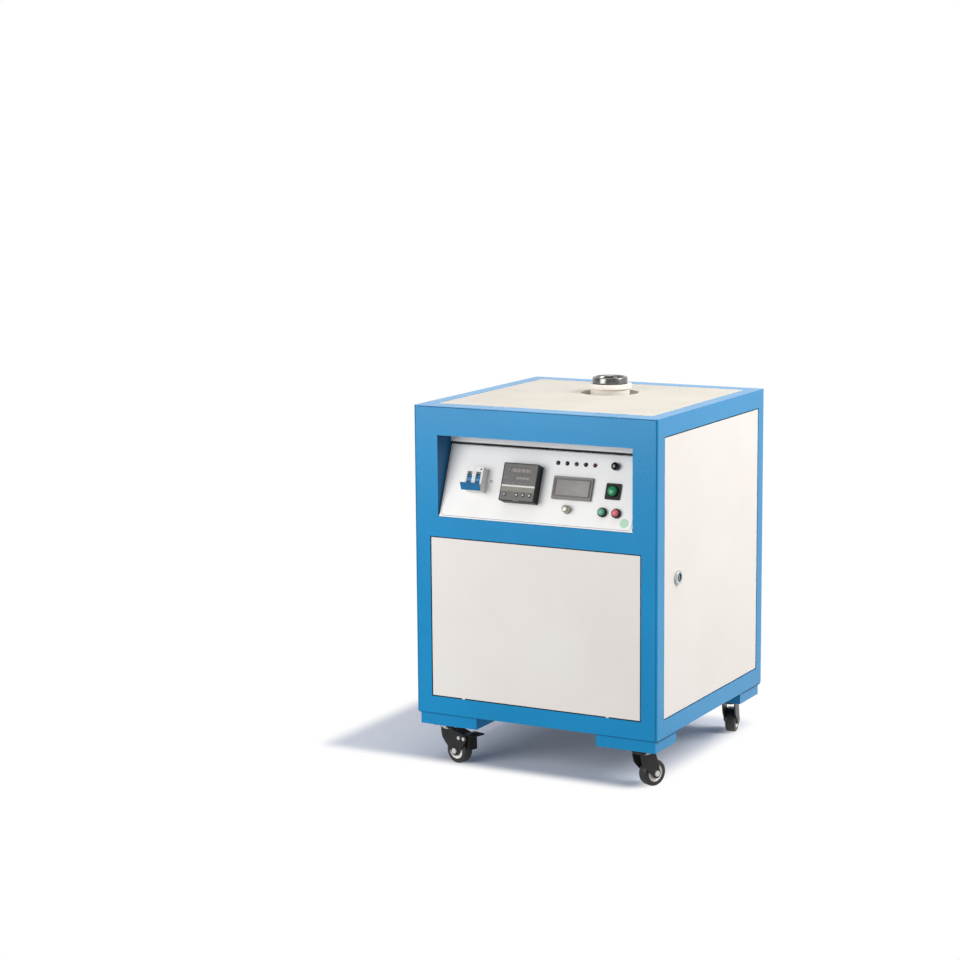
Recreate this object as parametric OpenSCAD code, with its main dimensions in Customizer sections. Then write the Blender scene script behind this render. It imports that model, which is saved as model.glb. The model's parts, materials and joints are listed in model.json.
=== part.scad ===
// Electric gold melting furnace: a graphite crucible in a ceramic sleeve and a copper
// induction coil, inside a sheet-metal cabinet on four swivel casters.
// Millimetres, +Z up. Origin: on the floor, at the centre of the overall outline in plan.

/* [Cabinet frame] */
// Width across the two side faces
frame_w = 500; // [460:10:640]
// Depth from the front face to the back face
frame_d = 503; // [480:1:640]
// Height of the frame, without feet and casters
frame_h = 589; // [560:1:900]
// Thickness of the frame's steel sheet
sheet = 1.5; // [1:0.1:2]
// Radius of the folded upright edges
edge_r = 3; // [1.8:0.1:5]
// Width of a corner post seen from the front or the back
post_face = 32; // [28:1:38]
// Width of a front post seen from the side
post_side = 30; // [26:1:36]
// Width of a rear post seen from the side
rear_post_side = 28; // [24:1:36]
// Depth of the folded return along each opening
flange = 20; // [15:0.5:21]
// Height of the bottom rails
bottom_rail_h = 33; // [26:1:44]
// Height of the side and rear rails at the top
top_rail_h = 35; // [28:1:44]
// Height of the band above the control recess
header_h = 54.5; // [40:0.5:70]
// Height of the rail between the control recess and the front panel
mid_rail_h = 38; // [24:1:60]
// Width of the top border along the front
border_front = 42; // [36:1:60]
// Width of the top border along each side
border_side = 28; // [24:1:36]
// Width of the top border along the back
border_rear = 35; // [30:1:50]
// Bearing width of the ledge that carries the top board
ledge = 12; // [8:1:16]

/* [Panels and doors] */
// Gap round the doors and the removable panels
panel_gap = 2; // [1.5:0.1:3]
// Depth of the folded trays of the doors and panels
tray_depth = 18; // [15:0.5:20]
// Thickness of the tray sheet
tray_t = 1.2; // [0.8:0.1:1.6]
// Setback of the doors and panels from the frame faces
setback = 0.5; // [0:0.1:1.5]
// Thickness of the refractory top board
board_t = 18; // [12:1:20]
// Diameter of the hole in the top board
board_hole_d = 111; // [100:1:130]
// Distance of the crucible axis from the back face
crucible_back = 175; // [160:1:200]
// Diameter of the door hinge pins
hinge_pin_d = 6; // [4:0.5:7]
// Hinge axis to the outer face of a door
hinge_in = 5; // [4.5:0.1:6]
// Hinge axis to the rear edge of a door
hinge_back = 10; // [9:0.5:12]
// Distance of the door lock from the front face
lock_y = 89.4; // [75:0.1:110]
// Height of the door lock above the frame's underside
lock_z = 288.5; // [200:0.5:400]
// Diameter of the lock's head
lock_head_d = 26; // [22:1:30]
// Thickness of the lock's head
lock_head_t = 5; // [3:0.5:6]
// Diameter of the lock's threaded barrel
lock_barrel_d = 18; // [16:1:20]
// Diameter of the lock's turning core
lock_core_d = 12; // [8:1:13]
// Thickness of the lock's cam
cam_t = 2.5; // [2:0.5:3]
// Width of the lock's cam
cam_w = 16; // [12:1:20]
// Length by which the turned cam reaches behind the front post
cam_grip = 6; // [4:1:7]

/* [Control recess] */
// Distance of the recess opening from each side of the frame
recess_side = 49.25; // [40:0.05:60]
// Height of the recess opening
recess_h = 154.3; // [150:0.1:180]
// Lean of the control panel from upright
panel_slope = 21.3; // [15:0.1:24]
// Length of the control panel up its slope
panel_len = 144; // [135:1:146]
// Thickness of the control panel
panel_t = 2; // [1.5:0.5:3]

/* [Controls] */
// Height of the middle row of controls, up the slope
row_mid = 73; // [71:1:76]
// Height of the row of buttons
row_low = 33; // [28:1:36]
// Height of the row of lamps
row_top = 119; // [114:1:128]
// Sideways place of the circuit breaker
breaker_x = -129; // [-150:1:-110]
// Width of the two-pole circuit breaker
breaker_w = 36; // [34:1:38]
// Height of the breaker's nose
breaker_nose_h = 45; // [42:1:48]
// How far the breaker's nose stands out of the panel
breaker_out = 21; // [16:1:26]
// Distance of the toggles' handle bar from their pin
toggle_lever = 25; // [24:1:28]
// Height of the toggles' handle bar
toggle_bar_h = 14; // [10:1:16]
// Sideways place of the temperature controller
controller_x = -34; // [-45:1:-25]
// Side of the square temperature controller
controller_size = 72; // [68:1:76]
// How far the controller stands out of the panel
controller_out = 20; // [12:1:24]
// Diameter of the controller's round keys
key_d = 6; // [4:0.5:7]
// Travel of the controller's keys
key_travel = 0.5; // [0.3:0.1:0.8]
// Sideways place of the digital meter
meter_x = 68.4; // [60:0.1:76]
// Width of the digital meter
meter_w = 80; // [76:1:84]
// Height of the digital meter
meter_h = 43; // [40:1:46]
// How far the meter stands out of the panel
meter_out = 5; // [3:0.5:8]
// Sideways place of the first indicator lamp
lamp_x = 29.8; // [24:0.1:36]
// Spacing of the indicator lamps
lamp_step = 18.8; // [16:0.1:21]
// Number of indicator lamps
lamp_count = 5; // [3:1:5]
// Diameter of an indicator lamp's rim
lamp_d = 8; // [6:0.5:10]
// Sideways place of the green lamp switch
switch_x = 150; // [144:1:156]
// Side of the lamp switch's square bezel
switch_size = 30; // [28:1:32]
// Diameter of the lamp switch's round button
switch_d = 18; // [16:1:24]
// Travel of the lamp switch
switch_travel = 2.5; // [1.5:0.5:3]
// Sideways place of the green start button
start_x = 135.5; // [132:0.5:138]
// Sideways place of the red stop button
stop_x = 163.3; // [160:0.1:168]
// Diameter of a push button's black collar
collar_d = 17.5; // [16:0.5:20]
// Diameter of a push button's coloured cap
cap_d = 12.8; // [10:0.2:14]
// How far a push button's cap stands out of the panel
cap_out = 11; // [8:0.5:13]
// Travel of the push buttons
cap_travel = 3; // [2:0.5:4]
// Sideways place of the grey power knob
power_knob_x = 64; // [58:1:70]
// Sideways place of the black mode knob
mode_knob_x = 148; // [144:1:154]
// Diameter of the power knob's grip
power_knob_d = 16; // [14:0.5:18]
// Height of the power knob above the panel
power_knob_h = 14; // [11:0.5:17]
// Diameter of the mode knob's grip
mode_knob_d = 15; // [14:0.5:18]
// Height of the mode knob above the panel
mode_knob_h = 12; // [11:0.5:17]
// Diameter of a knob's shaft
knob_shaft_d = 6; // [5:0.5:6.5]

/* [Crucible, sleeve and coil] */
// Outer diameter of the crucible's rim
rim_d = 68; // [64:1:74]
// Height of the crucible's rim above the sleeve
rim_h = 12.8; // [9:0.1:16]
// Diameter of the crucible's body
crucible_d = 65; // [58:1:66]
// Wall of the crucible
crucible_wall = 6.5; // [5:0.5:9]
// Length of the crucible below its rim
crucible_len = 130; // [110:1:132]
// How far the crucible lifts out
crucible_lift = 160; // [100:5:200]
// Outer diameter of the ceramic sleeve
sleeve_d = 76; // [74:1:80]
// Clearance between the crucible and the sleeve, on the radius
sleeve_gap = 0.7; // [0.4:0.1:1.5]
// Diameter of the sleeve's top flange
sleeve_flange_d = 84; // [80:1:90]
// Thickness of the sleeve's top flange
sleeve_flange_t = 9.5; // [7:0.5:12]
// Height of the sleeve's flange above the top board
sleeve_lift = 8; // [5:0.5:14]
// Overall length of the sleeve
sleeve_len = 144.5; // [142:0.5:160]
// Diameter of the copper coil tube
coil_tube_d = 8; // [6:0.5:9]
// Mean diameter of the coil
coil_d = 94; // [90:1:104]
// Climb of the coil in one turn
coil_pitch = 12; // [10:0.5:13]
// Full turns of the coil, before its last half turn
coil_turns = 6; // [3:1:6]
// Height of the refractory block under the sleeve
block_h = 38; // [30:1:50]
// Side of the refractory block
block_w = 120; // [110:1:150]

/* [Feet and casters] */
// Width of a foot along the front
foot_w = 120; // [110:1:140]
// Depth of a foot along the side
foot_d = 92; // [86:1:110]
// Height of a foot
foot_h = 24; // [18:1:34]
// Setback of a foot from the frame faces
foot_inset = 5; // [2:0.5:8]
// Thickness of a foot's steel
foot_t = 3; // [2:0.5:4]
// Height of a caster from the floor to its plate
caster_h = 78; // [75:1:86]
// Diameter of a caster wheel
wheel_d = 50; // [46:1:52]
// Width of a caster wheel
wheel_w = 20; // [17:0.5:22]
// Offset of the wheel's axle from the swivel axis
trail = 22.5; // [18:0.5:26]
// Distance of a swivel axis from the side face
caster_in_x = 48; // [44:1:60]
// Distance of a swivel axis from the front or back face
caster_in_y = 44; // [40:1:56]
// Diameter of the axle bolt
axle_d = 6; // [5:0.5:8]
// Length of a brake pedal from the swivel axis to its tip
pedal_reach = 74; // [66:1:80]

/* [Rear connections and inside] */
// Length of the water spigots behind the back face
rear_reach = 38; // [30:1:50]
// Diameter of a water spigot
spigot_d = 12; // [10:0.5:14]
// Height of the water fittings
fitting_z = 150; // [120:1:200]
// Diameter of a cooling hose
hose_d = 14; // [12:0.5:16]
// Bore of the cable gland
gland_bore_d = 12; // [10:0.5:14]
// Side of the square cooling fan
fan_size = 92; // [80:1:100]
// Thickness of the cooling fan
fan_t = 25; // [20:1:30]

/* [Hidden] */
$fn = 48;

// Radial clearance of a shaft that turns in its bore
run = 0.05;
// Gap that keeps neighbouring pieces of different bodies apart
clear = 0.3;
// Extra length of a cutter past the face it cuts
cut = 1;

// Colours as the photograph shows them
blue = [0.145, 0.5, 0.78];
off_white = [0.93, 0.92, 0.9];
cream = [0.91, 0.89, 0.85];
black = [0.08, 0.08, 0.08];
dark_grey = [0.3, 0.3, 0.3];
zinc = [0.72, 0.73, 0.74];
copper = [0.8, 0.45, 0.3];

// Places that follow from the driving sizes
toggle_drum_r = 11.5;
toggle_axis = breaker_out - toggle_drum_r - 0.5;
toggle_bar_t = 4;
front_reach = norm([toggle_lever + toggle_bar_t / 2, toggle_bar_h / 2])
  - sheet - row_mid * sin(panel_slope) + toggle_axis * cos(panel_slope);
front_y = -(frame_d + rear_reach - front_reach) / 2;
base_z = caster_h + foot_h;
inner_w = frame_w - 2 * post_face;
recess_w = frame_w - 2 * recess_side;
crucible_y = frame_d - crucible_back;
recess_top = frame_h - header_h;
recess_z = recess_top - recess_h;
front_panel_top = recess_z - mid_rail_h;
side_front = post_side;
side_back = frame_d - rear_post_side;
door_w = side_back - side_front - 2 * panel_gap;
door_z = bottom_rail_h + panel_gap;
door_h = frame_h - top_rail_h - panel_gap - door_z;
door_x = frame_w / 2 - setback;
hinge_x = door_x - hinge_in;
hinge_y = side_back - panel_gap - hinge_back;
pin_head_t = 2;
pin_grip = 12;
board_z = frame_h - board_t;
sleeve_top = frame_h + sleeve_lift + sleeve_flange_t;
sleeve_z = sleeve_top - sleeve_len;
seat_depth = 8;
block_z = sleeve_z + seat_depth - block_h;
shelf_t = 2;
pan_top = 2 * sheet;
cam_x = frame_w / 2 - flange - 1.5;
cam_reach = lock_y - post_side + cam_grip;

// The cabinet's own coordinates: x from its middle, y from its front face,
// z from its underside
module home() {
  translate([0, front_y, base_z]) children();
}

// The same shape on the left and on the right
module both_sides() {
  for (side = [0, 1]) mirror([side, 0, 0]) children();
}

// The control panel's coordinates: x across, y up the slope, z out of its face
module on_panel(x = 0, up = 0, out = 0) {
  translate([0, sheet, recess_z]) rotate([90 - panel_slope, 0, 0]) translate([x, up, out]) children();
}

// A bar of a given size, centred across x and y, standing on z = 0
module block(w, d, h) {
  translate([-w / 2, -d / 2, 0]) cube([w, d, h]);
}

// A block whose four upright edges are rounded
module rounded_block(w, d, h, r) {
  block(w - 2 * r, d, h);
  block(w, d - 2 * r, h);
  for (x = [-1, 1], y = [-1, 1]) translate([x * (w / 2 - r), y * (d / 2 - r), 0]) cylinder(r = r, h = h);
}

// Hexagonal prism, measured across its flats
module hex(across, h) {
  cylinder(d = across / cos(30), h = h, $fn = 6);
}

// Corner of a sheet-metal box in plan, rounded at the origin
module round_corner(w, d) {
  translate([edge_r, 0]) square([w - edge_r, d]);
  translate([0, edge_r]) square([w, d - edge_r]);
  translate([edge_r, edge_r]) circle(edge_r);
}

// Plan of a folded post: two outer faces and a return along each opening
module post_plan(side_w) {
  difference() {
    round_corner(post_face, side_w);
    translate([sheet, sheet]) square([post_face, side_w]);
  }
  translate([post_face - sheet, 0]) square([sheet, flange]);
  translate([0, side_w - sheet]) square([flange, sheet]);
}

module post(side_w, cap_d) {
  linear_extrude(frame_h) post_plan(side_w);
  linear_extrude(sheet) round_corner(post_face, side_w);
  translate([0, 0, frame_h - sheet]) linear_extrude(sheet) round_corner(post_face, cap_d);
}

module corner_posts() {
  home() color(blue) both_sides() {
    translate([-frame_w / 2, 0, 0]) post(post_side, border_front);
    translate([-frame_w / 2, frame_d, 0]) mirror([0, 1, 0]) post(rear_post_side, border_rear);
  }
}

// Folded border of the top: a flat flange, a drop of the board's thickness and a ledge
module top_border(len, width, ledge_len) {
  translate([-len / 2, 0, frame_h - sheet]) cube([len, width, sheet]);
  translate([-len / 2, width - sheet, board_z - sheet]) cube([len, sheet, board_t + sheet]);
  translate([-ledge_len / 2, width - sheet, board_z - sheet]) cube([ledge_len, ledge + sheet, sheet]);
}

// Width of a ledge that stops short of the side ledges
cross_ledge = frame_w - 2 * (border_side + ledge + cut);

module front_header() {
  lip = 6;
  home() color(blue) {
    difference() {
      translate([-inner_w / 2, 0, front_panel_top]) cube([inner_w, sheet, frame_h - front_panel_top]);
      translate([-recess_w / 2, -cut, recess_z]) cube([recess_w, sheet + 2 * cut, recess_h]);
    }
    translate([-inner_w / 2, 0, front_panel_top]) cube([inner_w, flange, sheet]);
    translate([-recess_w / 2, 0, recess_z - sheet]) cube([recess_w, lip, sheet]);
    top_border(inner_w, border_front, cross_ledge);
  }
}

module top_rails() {
  rail_len = side_back - side_front;
  border_len = frame_d - border_front - border_rear;
  face_h = top_rail_h - sheet;
  home() color(blue) {
    both_sides() difference() {
      union() {
        translate([-frame_w / 2, side_front, frame_h - top_rail_h]) cube([sheet, rail_len, face_h]);
        translate([-frame_w / 2, side_front, frame_h - top_rail_h]) cube([flange, rail_len, sheet]);
        translate([-frame_w / 2, border_front + border_len / 2, 0]) rotate(-90)
          top_border(border_len, border_side, border_len);
      }
      translate([-hinge_x, hinge_y, frame_h - top_rail_h - cut])
        cylinder(d = hinge_pin_d + 2 * run, h = sheet + 2 * cut);
    }
    translate([0, frame_d, 0]) rotate(180) top_border(inner_w, border_rear, cross_ledge);
    translate([-inner_w / 2, frame_d - sheet, frame_h - top_rail_h]) cube([inner_w, sheet, top_rail_h]);
    translate([-inner_w / 2, frame_d - flange, frame_h - top_rail_h]) cube([inner_w, flange, sheet]);
  }
}

// Folded bottom rail: a face, a return above and a wider flange below
module bottom_rail(len) {
  translate([-len / 2, 0, 0]) cube([len, sheet, bottom_rail_h]);
  translate([-len / 2, 0, bottom_rail_h - sheet]) cube([len, flange, sheet]);
  translate([-len / 2, 0, 0]) cube([len, flange + 4, sheet]);
}

module bottom_rails() {
  rail_len = side_back - side_front;
  home() color(blue) {
    bottom_rail(inner_w);
    translate([0, frame_d, 0]) rotate(180) bottom_rail(inner_w);
    both_sides() difference() {
      translate([-frame_w / 2, side_front + rail_len / 2, 0]) rotate(-90) bottom_rail(rail_len);
      translate([-hinge_x, hinge_y, bottom_rail_h - sheet - cut])
        cylinder(d = hinge_pin_d + 2 * run, h = sheet + 2 * cut);
    }
  }
}

// Swivel axis of the front-left caster in the cabinet's coordinates
swivel_x = frame_w / 2 - caster_in_x;
plate_w = 60;
plate_d = 50;
plate_t = 2.5;
bolt_x = 22;
bolt_y = 17;
bolt_d = 6;

// Places a child at every swivel axis, on the underside of the feet
module at_swivels() {
  for (x = [-swivel_x, swivel_x], y = [caster_in_y, frame_d - caster_in_y])
    translate([x, y, -foot_h]) children();
}

module at_plate_bolts() {
  at_swivels() for (x = [-bolt_x, bolt_x], y = [-bolt_y, bolt_y]) translate([x, y, 0]) children();
}

// Open-topped box foot with the caster bolts' holes in its floor
module foot() {
  difference() {
    cube([foot_w, foot_d, foot_h]);
    translate([foot_t, foot_t, foot_t]) cube([foot_w - 2 * foot_t, foot_d - 2 * foot_t, foot_h]);
  }
}

module caster_feet() {
  left = -frame_w / 2 + foot_inset;
  home() color(blue) difference() {
    both_sides() {
      translate([left, foot_inset, -foot_h]) foot();
      translate([left, frame_d - foot_inset - foot_d, -foot_h]) foot();
    }
    at_plate_bolts() translate([0, 0, -cut]) cylinder(d = bolt_d + 2 * clear, h = foot_t + 2 * cut);
  }
}

// Floor sheet with two fields of vent slots
module bottom_pan() {
  pan_w = inner_w - 3;
  wide_w = frame_w - 8;
  slot_len = 90;
  slot_w = 6;
  slot_step = 15;
  slot_y = 344;
  home() color(blue) difference() {
    union() {
      translate([-pan_w / 2, sheet + cut, sheet]) cube([pan_w, frame_d - 2 * (sheet + cut), sheet]);
      translate([-wide_w / 2, side_front + cut, sheet])
        cube([wide_w, side_back - side_front - 2 * cut, sheet]);
    }
    both_sides() for (i = [0 : 3])
      translate([70, slot_y + i * slot_step, 0]) cube([slot_len, slot_w, 2 * pan_top]);
  }
}

// Folded tray with its open side towards +y, its front face at y = 0
module tray(w, h) {
  difference() {
    translate([-w / 2, 0, 0]) cube([w, tray_depth, h]);
    translate([-w / 2 + tray_t, tray_t, tray_t]) cube([w - 2 * tray_t, tray_depth, h - 2 * tray_t]);
  }
}

tray_w = inner_w - 2 * panel_gap;
front_panel_z = bottom_rail_h + panel_gap;

// Removable front panel; two tabs at its foot rest on the bottom rail
module front_panel() {
  tab_w = 6;
  tab_x = frame_w * 0.3;
  home() color(off_white) {
    translate([0, setback, front_panel_z]) tray(tray_w, front_panel_top - panel_gap - front_panel_z);
    both_sides() translate([tab_x - tab_w / 2, setback, bottom_rail_h])
      cube([tab_w, tray_t, panel_gap + tray_t]);
  }
}

gland_x = 110 - frame_w / 2;
gland_z = 110;
stud_z = 90;
fan_x = frame_w / 2 - 125;
fan_z = 150;
duct_r = fan_size / 2 - 4;
back_face = frame_d - setback;
back_inner = back_face - tray_t;
thread_d = spigot_d + 2;
gland_d = gland_bore_d + 6;

// Places a child on the back panel's outer face, its z axis pointing backwards
module on_back(x, z) {
  translate([x, back_face, z]) rotate([-90, 0, 0]) children();
}

// Pressed louvre: a hood open below, closed at both ends
module louvre(w, h, out) {
  rotate([90, 0, 90]) {
    translate([0, 0, -w / 2]) linear_extrude(w)
      polygon([[-tray_t, h], [0, h], [out, 2], [out, 0], [out - 1, 0], [out - 1, 1.6], [-tray_t, h - 1.6]]);
    for (side = [-1, 1]) translate([0, 0, side * (w / 2 - 0.5) - 0.5]) linear_extrude(1)
      polygon([[-tray_t, h], [0, h], [out, 2], [out, 0], [-tray_t, 0]]);
  }
}

// Back panel: louvres above, below them a fan grille and the holes for water and cable
module back_panel() {
  rows = 7;
  row_step = 24;
  row_z = 330;
  louvre_w = 130;
  louvre_x = 95;
  hood_out = 4;
  hood_h = 12;
  bars = 4;
  bar_step = 9;
  slot_h = 5;
  stud_d = 6;
  stud_len = 16;
  home() color(off_white) {
    difference() {
      translate([0, back_face, door_z]) mirror([0, 1, 0]) tray(tray_w, door_h);
      both_sides() for (i = [0 : rows - 1])
        translate([louvre_x - louvre_w / 2 + 1, back_inner - cut, row_z + i * row_step])
          cube([louvre_w - 2, tray_t + 2 * cut, hood_h - 1.6]);
      for (i = [-bars : bars])
        let (half = sqrt(pow(duct_r, 2) - pow(abs(i) * bar_step + slot_h / 2, 2)))
          translate([fan_x - half, back_inner - cut, fan_z + i * bar_step - slot_h / 2])
            cube([2 * half, tray_t + 2 * cut, slot_h]);
      both_sides() on_back(coil_d / 2, fitting_z) translate([0, 0, -tray_t - cut])
        cylinder(d = thread_d + 2 * clear, h = tray_t + 2 * cut);
      on_back(gland_x, gland_z) translate([0, 0, -tray_t - cut])
        cylinder(d = gland_d + 2 * clear, h = tray_t + 2 * cut);
    }
    both_sides() for (i = [0 : rows - 1])
      translate([louvre_x, back_face, row_z + i * row_step]) louvre(louvre_w, hood_h, hood_out);
    on_back(0, stud_z) cylinder(d = stud_d, h = stud_len);
    on_back(0, stud_z) cylinder(d = 2 * stud_d, h = 1);
  }
}

// Barbed spigots with their locknuts, through the back panel
module water_fittings() {
  nut_h = 6;
  barb_d = spigot_d - 2;
  barb_len = 12;
  home() color(zinc) both_sides() on_back(coil_d / 2, fitting_z) difference() {
    union() {
      cylinder(d = spigot_d, h = rear_reach + setback);
      hex(thread_d + 6, nut_h);
      translate([0, 0, -tray_t]) cylinder(d = thread_d, h = tray_t + 1);
      translate([0, 0, -tray_t - nut_h]) hex(thread_d + 6, nut_h);
      translate([0, 0, -tray_t - nut_h - barb_len]) cylinder(d = barb_d, h = barb_len + 1);
    }
    translate([0, 0, -tray_t - nut_h - barb_len - cut])
      cylinder(d = spigot_d - 5, h = rear_reach + barb_len + nut_h + tray_t + 3 * cut);
  }
}

// Cable gland: a ribbed cap outside, a locknut inside and a clear bore
module cable_gland() {
  cap_h = 14;
  nut_h = 5;
  home() color(black) on_back(gland_x, gland_z) difference() {
    union() {
      cylinder(d = gland_d + 4, h = cap_h);
      hex(gland_d + 6, nut_h);
      translate([0, 0, -tray_t]) cylinder(d = gland_d, h = tray_t + 1);
      translate([0, 0, -tray_t - nut_h]) hex(gland_d + 5, nut_h);
    }
    translate([0, 0, -tray_t - nut_h - cut]) cylinder(d = gland_bore_d, h = cap_h + nut_h + tray_t + 2 * cut);
  }
}

fan_hub_d = 36;
fan_plate = 3;
fan_shaft_d = 4;
fan_clear = 1;

// Places a child on the fan's axis, z = 0 on its inner face, pointing backwards
module at_fan() {
  translate([fan_x, back_inner - fan_t, fan_z]) rotate([-90, 0, 0]) children();
}

// Square fan housing with a round duct, a hub plate on struts and the rotor's shaft
module fan_housing() {
  hole_r = fan_size / 2 - 6;
  home() color(black) at_fan() {
    difference() {
      block(fan_size, fan_size, fan_t);
      translate([0, 0, -cut]) cylinder(r = duct_r, h = fan_t + 2 * cut);
      for (x = [-hole_r, hole_r], y = [-hole_r, hole_r]) translate([x, y, -cut])
        cylinder(d = 4.4, h = fan_t + 2 * cut);
    }
    cylinder(d = fan_hub_d, h = fan_plate);
    for (a = [45 : 90 : 315]) rotate(a) translate([fan_hub_d / 2 - 2, -2.5, 0])
      cube([duct_r - fan_hub_d / 2 + 3, 5, fan_plate]);
    cylinder(d = fan_shaft_d, h = fan_t - 6);
  }
}

// Fan rotor: a hub with a blind bore and seven pitched blades
module fan_rotor() {
  blades = 7;
  pitch = 35;
  hub_h = fan_t - fan_plate - clear - 2;
  blade_r = duct_r - fan_clear;
  home() color(black) at_fan() translate([0, 0, fan_plate + clear]) difference() {
    union() {
      cylinder(d = fan_hub_d, h = hub_h);
      intersection() {
        for (i = [0 : blades - 1]) rotate(i * 360 / blades) translate([fan_hub_d / 2 - 2, 0, hub_h / 2])
          rotate([pitch, 0, 0]) translate([0, -hub_h / 2, -0.75]) cube([blade_r, hub_h, 1.5]);
        cylinder(r = blade_r, h = hub_h);
      }
    }
    translate([0, 0, -cut]) cylinder(d = fan_shaft_d + 2 * run, h = fan_t - 6 - fan_plate + cut);
  }
}

// Refractory board flush with the frame's top, with the hole for the sleeve
module top_board() {
  board_gap = 0.5;
  board_w = frame_w - 2 * (border_side + board_gap);
  board_d = frame_d - border_front - border_rear - 2 * board_gap;
  home() color(cream) difference() {
    translate([-board_w / 2, border_front + board_gap, board_z]) cube([board_w, board_d, board_t]);
    translate([0, crucible_y, board_z - cut]) cylinder(d = board_hole_d, h = board_t + 2 * cut, $fn = 96);
  }
}

shelf_front = crucible_y - 158;
shelf_back = crucible_y + 108;
shelf_top = block_z;
strap_x = frame_w / 2 - flange - 5;
strap_h = 25;

// Shelf under the furnace; its side straps reach the posts and end in tabs on their returns
module furnace_shelf() {
  strap_front = side_front;
  strap_back = side_back;
  tab_w = 15;
  home() color(zinc) {
    translate([-strap_x, shelf_front, shelf_top - shelf_t])
      cube([2 * strap_x, shelf_back - shelf_front, shelf_t]);
    both_sides() {
      translate([strap_x - sheet, strap_front, shelf_top - strap_h])
        cube([sheet, strap_back - strap_front, strap_h]);
      for (y = [strap_front, strap_back - sheet])
        translate([strap_x - sheet, y, shelf_top - strap_h]) cube([tab_w, sheet, strap_h]);
    }
  }
}

// Refractory block that carries the sleeve in a round seat
module refractory_block() {
  home() color(cream) translate([0, crucible_y, block_z]) difference() {
    block(block_w, block_w, block_h);
    translate([0, 0, block_h - seat_depth])
      cylinder(d = sleeve_d + 2 * clear, h = seat_depth + cut, $fn = 96);
  }
}

// Ceramic sleeve: a tube with a flange at its top and a closed floor
module crucible_sleeve() {
  floor_t = 4;
  home() color(off_white) translate([0, crucible_y, sleeve_z]) difference() {
    union() {
      cylinder(d = sleeve_d, h = sleeve_len, $fn = 96);
      translate([0, 0, sleeve_len - sleeve_flange_t])
        cylinder(d = sleeve_flange_d, h = sleeve_flange_t, $fn = 96);
    }
    translate([0, 0, floor_t]) cylinder(d = crucible_d + 2 * sleeve_gap, h = sleeve_len, $fn = 96);
  }
}

// Graphite crucible: lifted out of the sleeve by its rim, which has a pouring notch
module crucible() {
  notch_d = 16;
  rim_z = sleeve_top + clear;
  home() color(dark_grey) translate([0, crucible_y, rim_z]) difference() {
    union() {
      cylinder(d = rim_d, h = rim_h, $fn = 96);
      translate([0, 0, -crucible_len]) cylinder(d = crucible_d, h = crucible_len + 1, $fn = 96);
    }
    translate([0, 0, 2 * crucible_wall - crucible_len])
      cylinder(d = crucible_d - 2 * crucible_wall, h = crucible_len + rim_h, $fn = 96);
    translate([-rim_d / 2 - cut, 0, rim_h + notch_d / 4]) rotate([0, 90, 0])
      cylinder(d = notch_d, h = rim_d / 2);
  }
}

// Centre line of the coil: from a straight lead at the left through a helix to one at the right
coil_steps = 24;
coil_total = round((coil_turns + 0.5) * coil_steps);
coil_r = coil_d / 2;
coil_drop = 40;
coil_z = sleeve_top - sleeve_flange_t - coil_drop - (coil_turns + 0.5) * coil_pitch;
lead_len = 62;
function coil_angle(i) = 180 + i * 360 / coil_steps;
function coil_point(i) =
  [coil_r * cos(coil_angle(i)), coil_r * sin(coil_angle(i)), i * coil_pitch / coil_steps];
coil_path = concat(
  [[coil_point(0) + [0, lead_len, 0], 180]],
  [for (i = [0 : coil_total]) [coil_point(i), coil_angle(i)]],
  [[coil_point(coil_total) + [0, lead_len, 0], coil_angle(coil_total)]]);
coil_top_z = coil_z + coil_total * coil_pitch / coil_steps;

// Least distance between parts of the coil that lie half a turn or more apart
coil_least_gap = min([for (i = [0 : coil_total]) for (j = [i + coil_steps / 2 : coil_total])
  norm(coil_point(i) - coil_point(j))]) - coil_tube_d;
echo(str("least gap between the coil's turns: ", coil_least_gap, " mm"));

// Water-cooled copper coil wound round the sleeve as one unbroken tube
module induction_coil() {
  sides = 6;
  rings = len(coil_path);
  r = coil_tube_d / 2;
  points = [for (p = coil_path) for (k = [0 : sides - 1])
    let (a = k * 360 / sides) p[0] + r * [cos(a) * cos(p[1]), cos(a) * sin(p[1]), sin(a)]];
  walls = [for (i = [0 : rings - 2]) for (k = [0 : sides - 1])
    let (n = (k + 1) % sides) [i * sides + k, i * sides + n, (i + 1) * sides + n, (i + 1) * sides + k]];
  first = [for (k = [sides - 1 : -1 : 0]) k];
  last = [for (k = [0 : sides - 1]) (rings - 1) * sides + k];
  home() color(copper) translate([0, crucible_y, coil_z]) polyhedron(points, concat(walls, [first, last]));
}

terminal_w = 22;
terminal_d = 26;
terminal_y = crucible_y + lead_len;
hose_y = terminal_y + terminal_d + 10;
bend_r = 22;

// Places a child at the end of each coil lead
module at_leads() {
  translate([-coil_r, terminal_y, coil_z]) children();
  translate([coil_r, terminal_y, coil_top_z]) children();
}

// Copper blocks that take the coil's leads, on insulating posts, with spigots for the hoses
module coil_terminals() {
  post_d = 12;
  home() color(copper) {
    at_leads() {
      translate([0, terminal_d / 2, -terminal_w / 2]) block(terminal_w, terminal_d, terminal_w);
      rotate([-90, 0, 0]) cylinder(d = hose_d - 4, h = terminal_d + 9);
    }
    for (p = [[-coil_r, coil_z], [coil_r, coil_top_z]])
      translate([p[0], terminal_y + terminal_d / 2, shelf_top]) cylinder(d = post_d, h = p[1] - shelf_top);
  }
}

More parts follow.
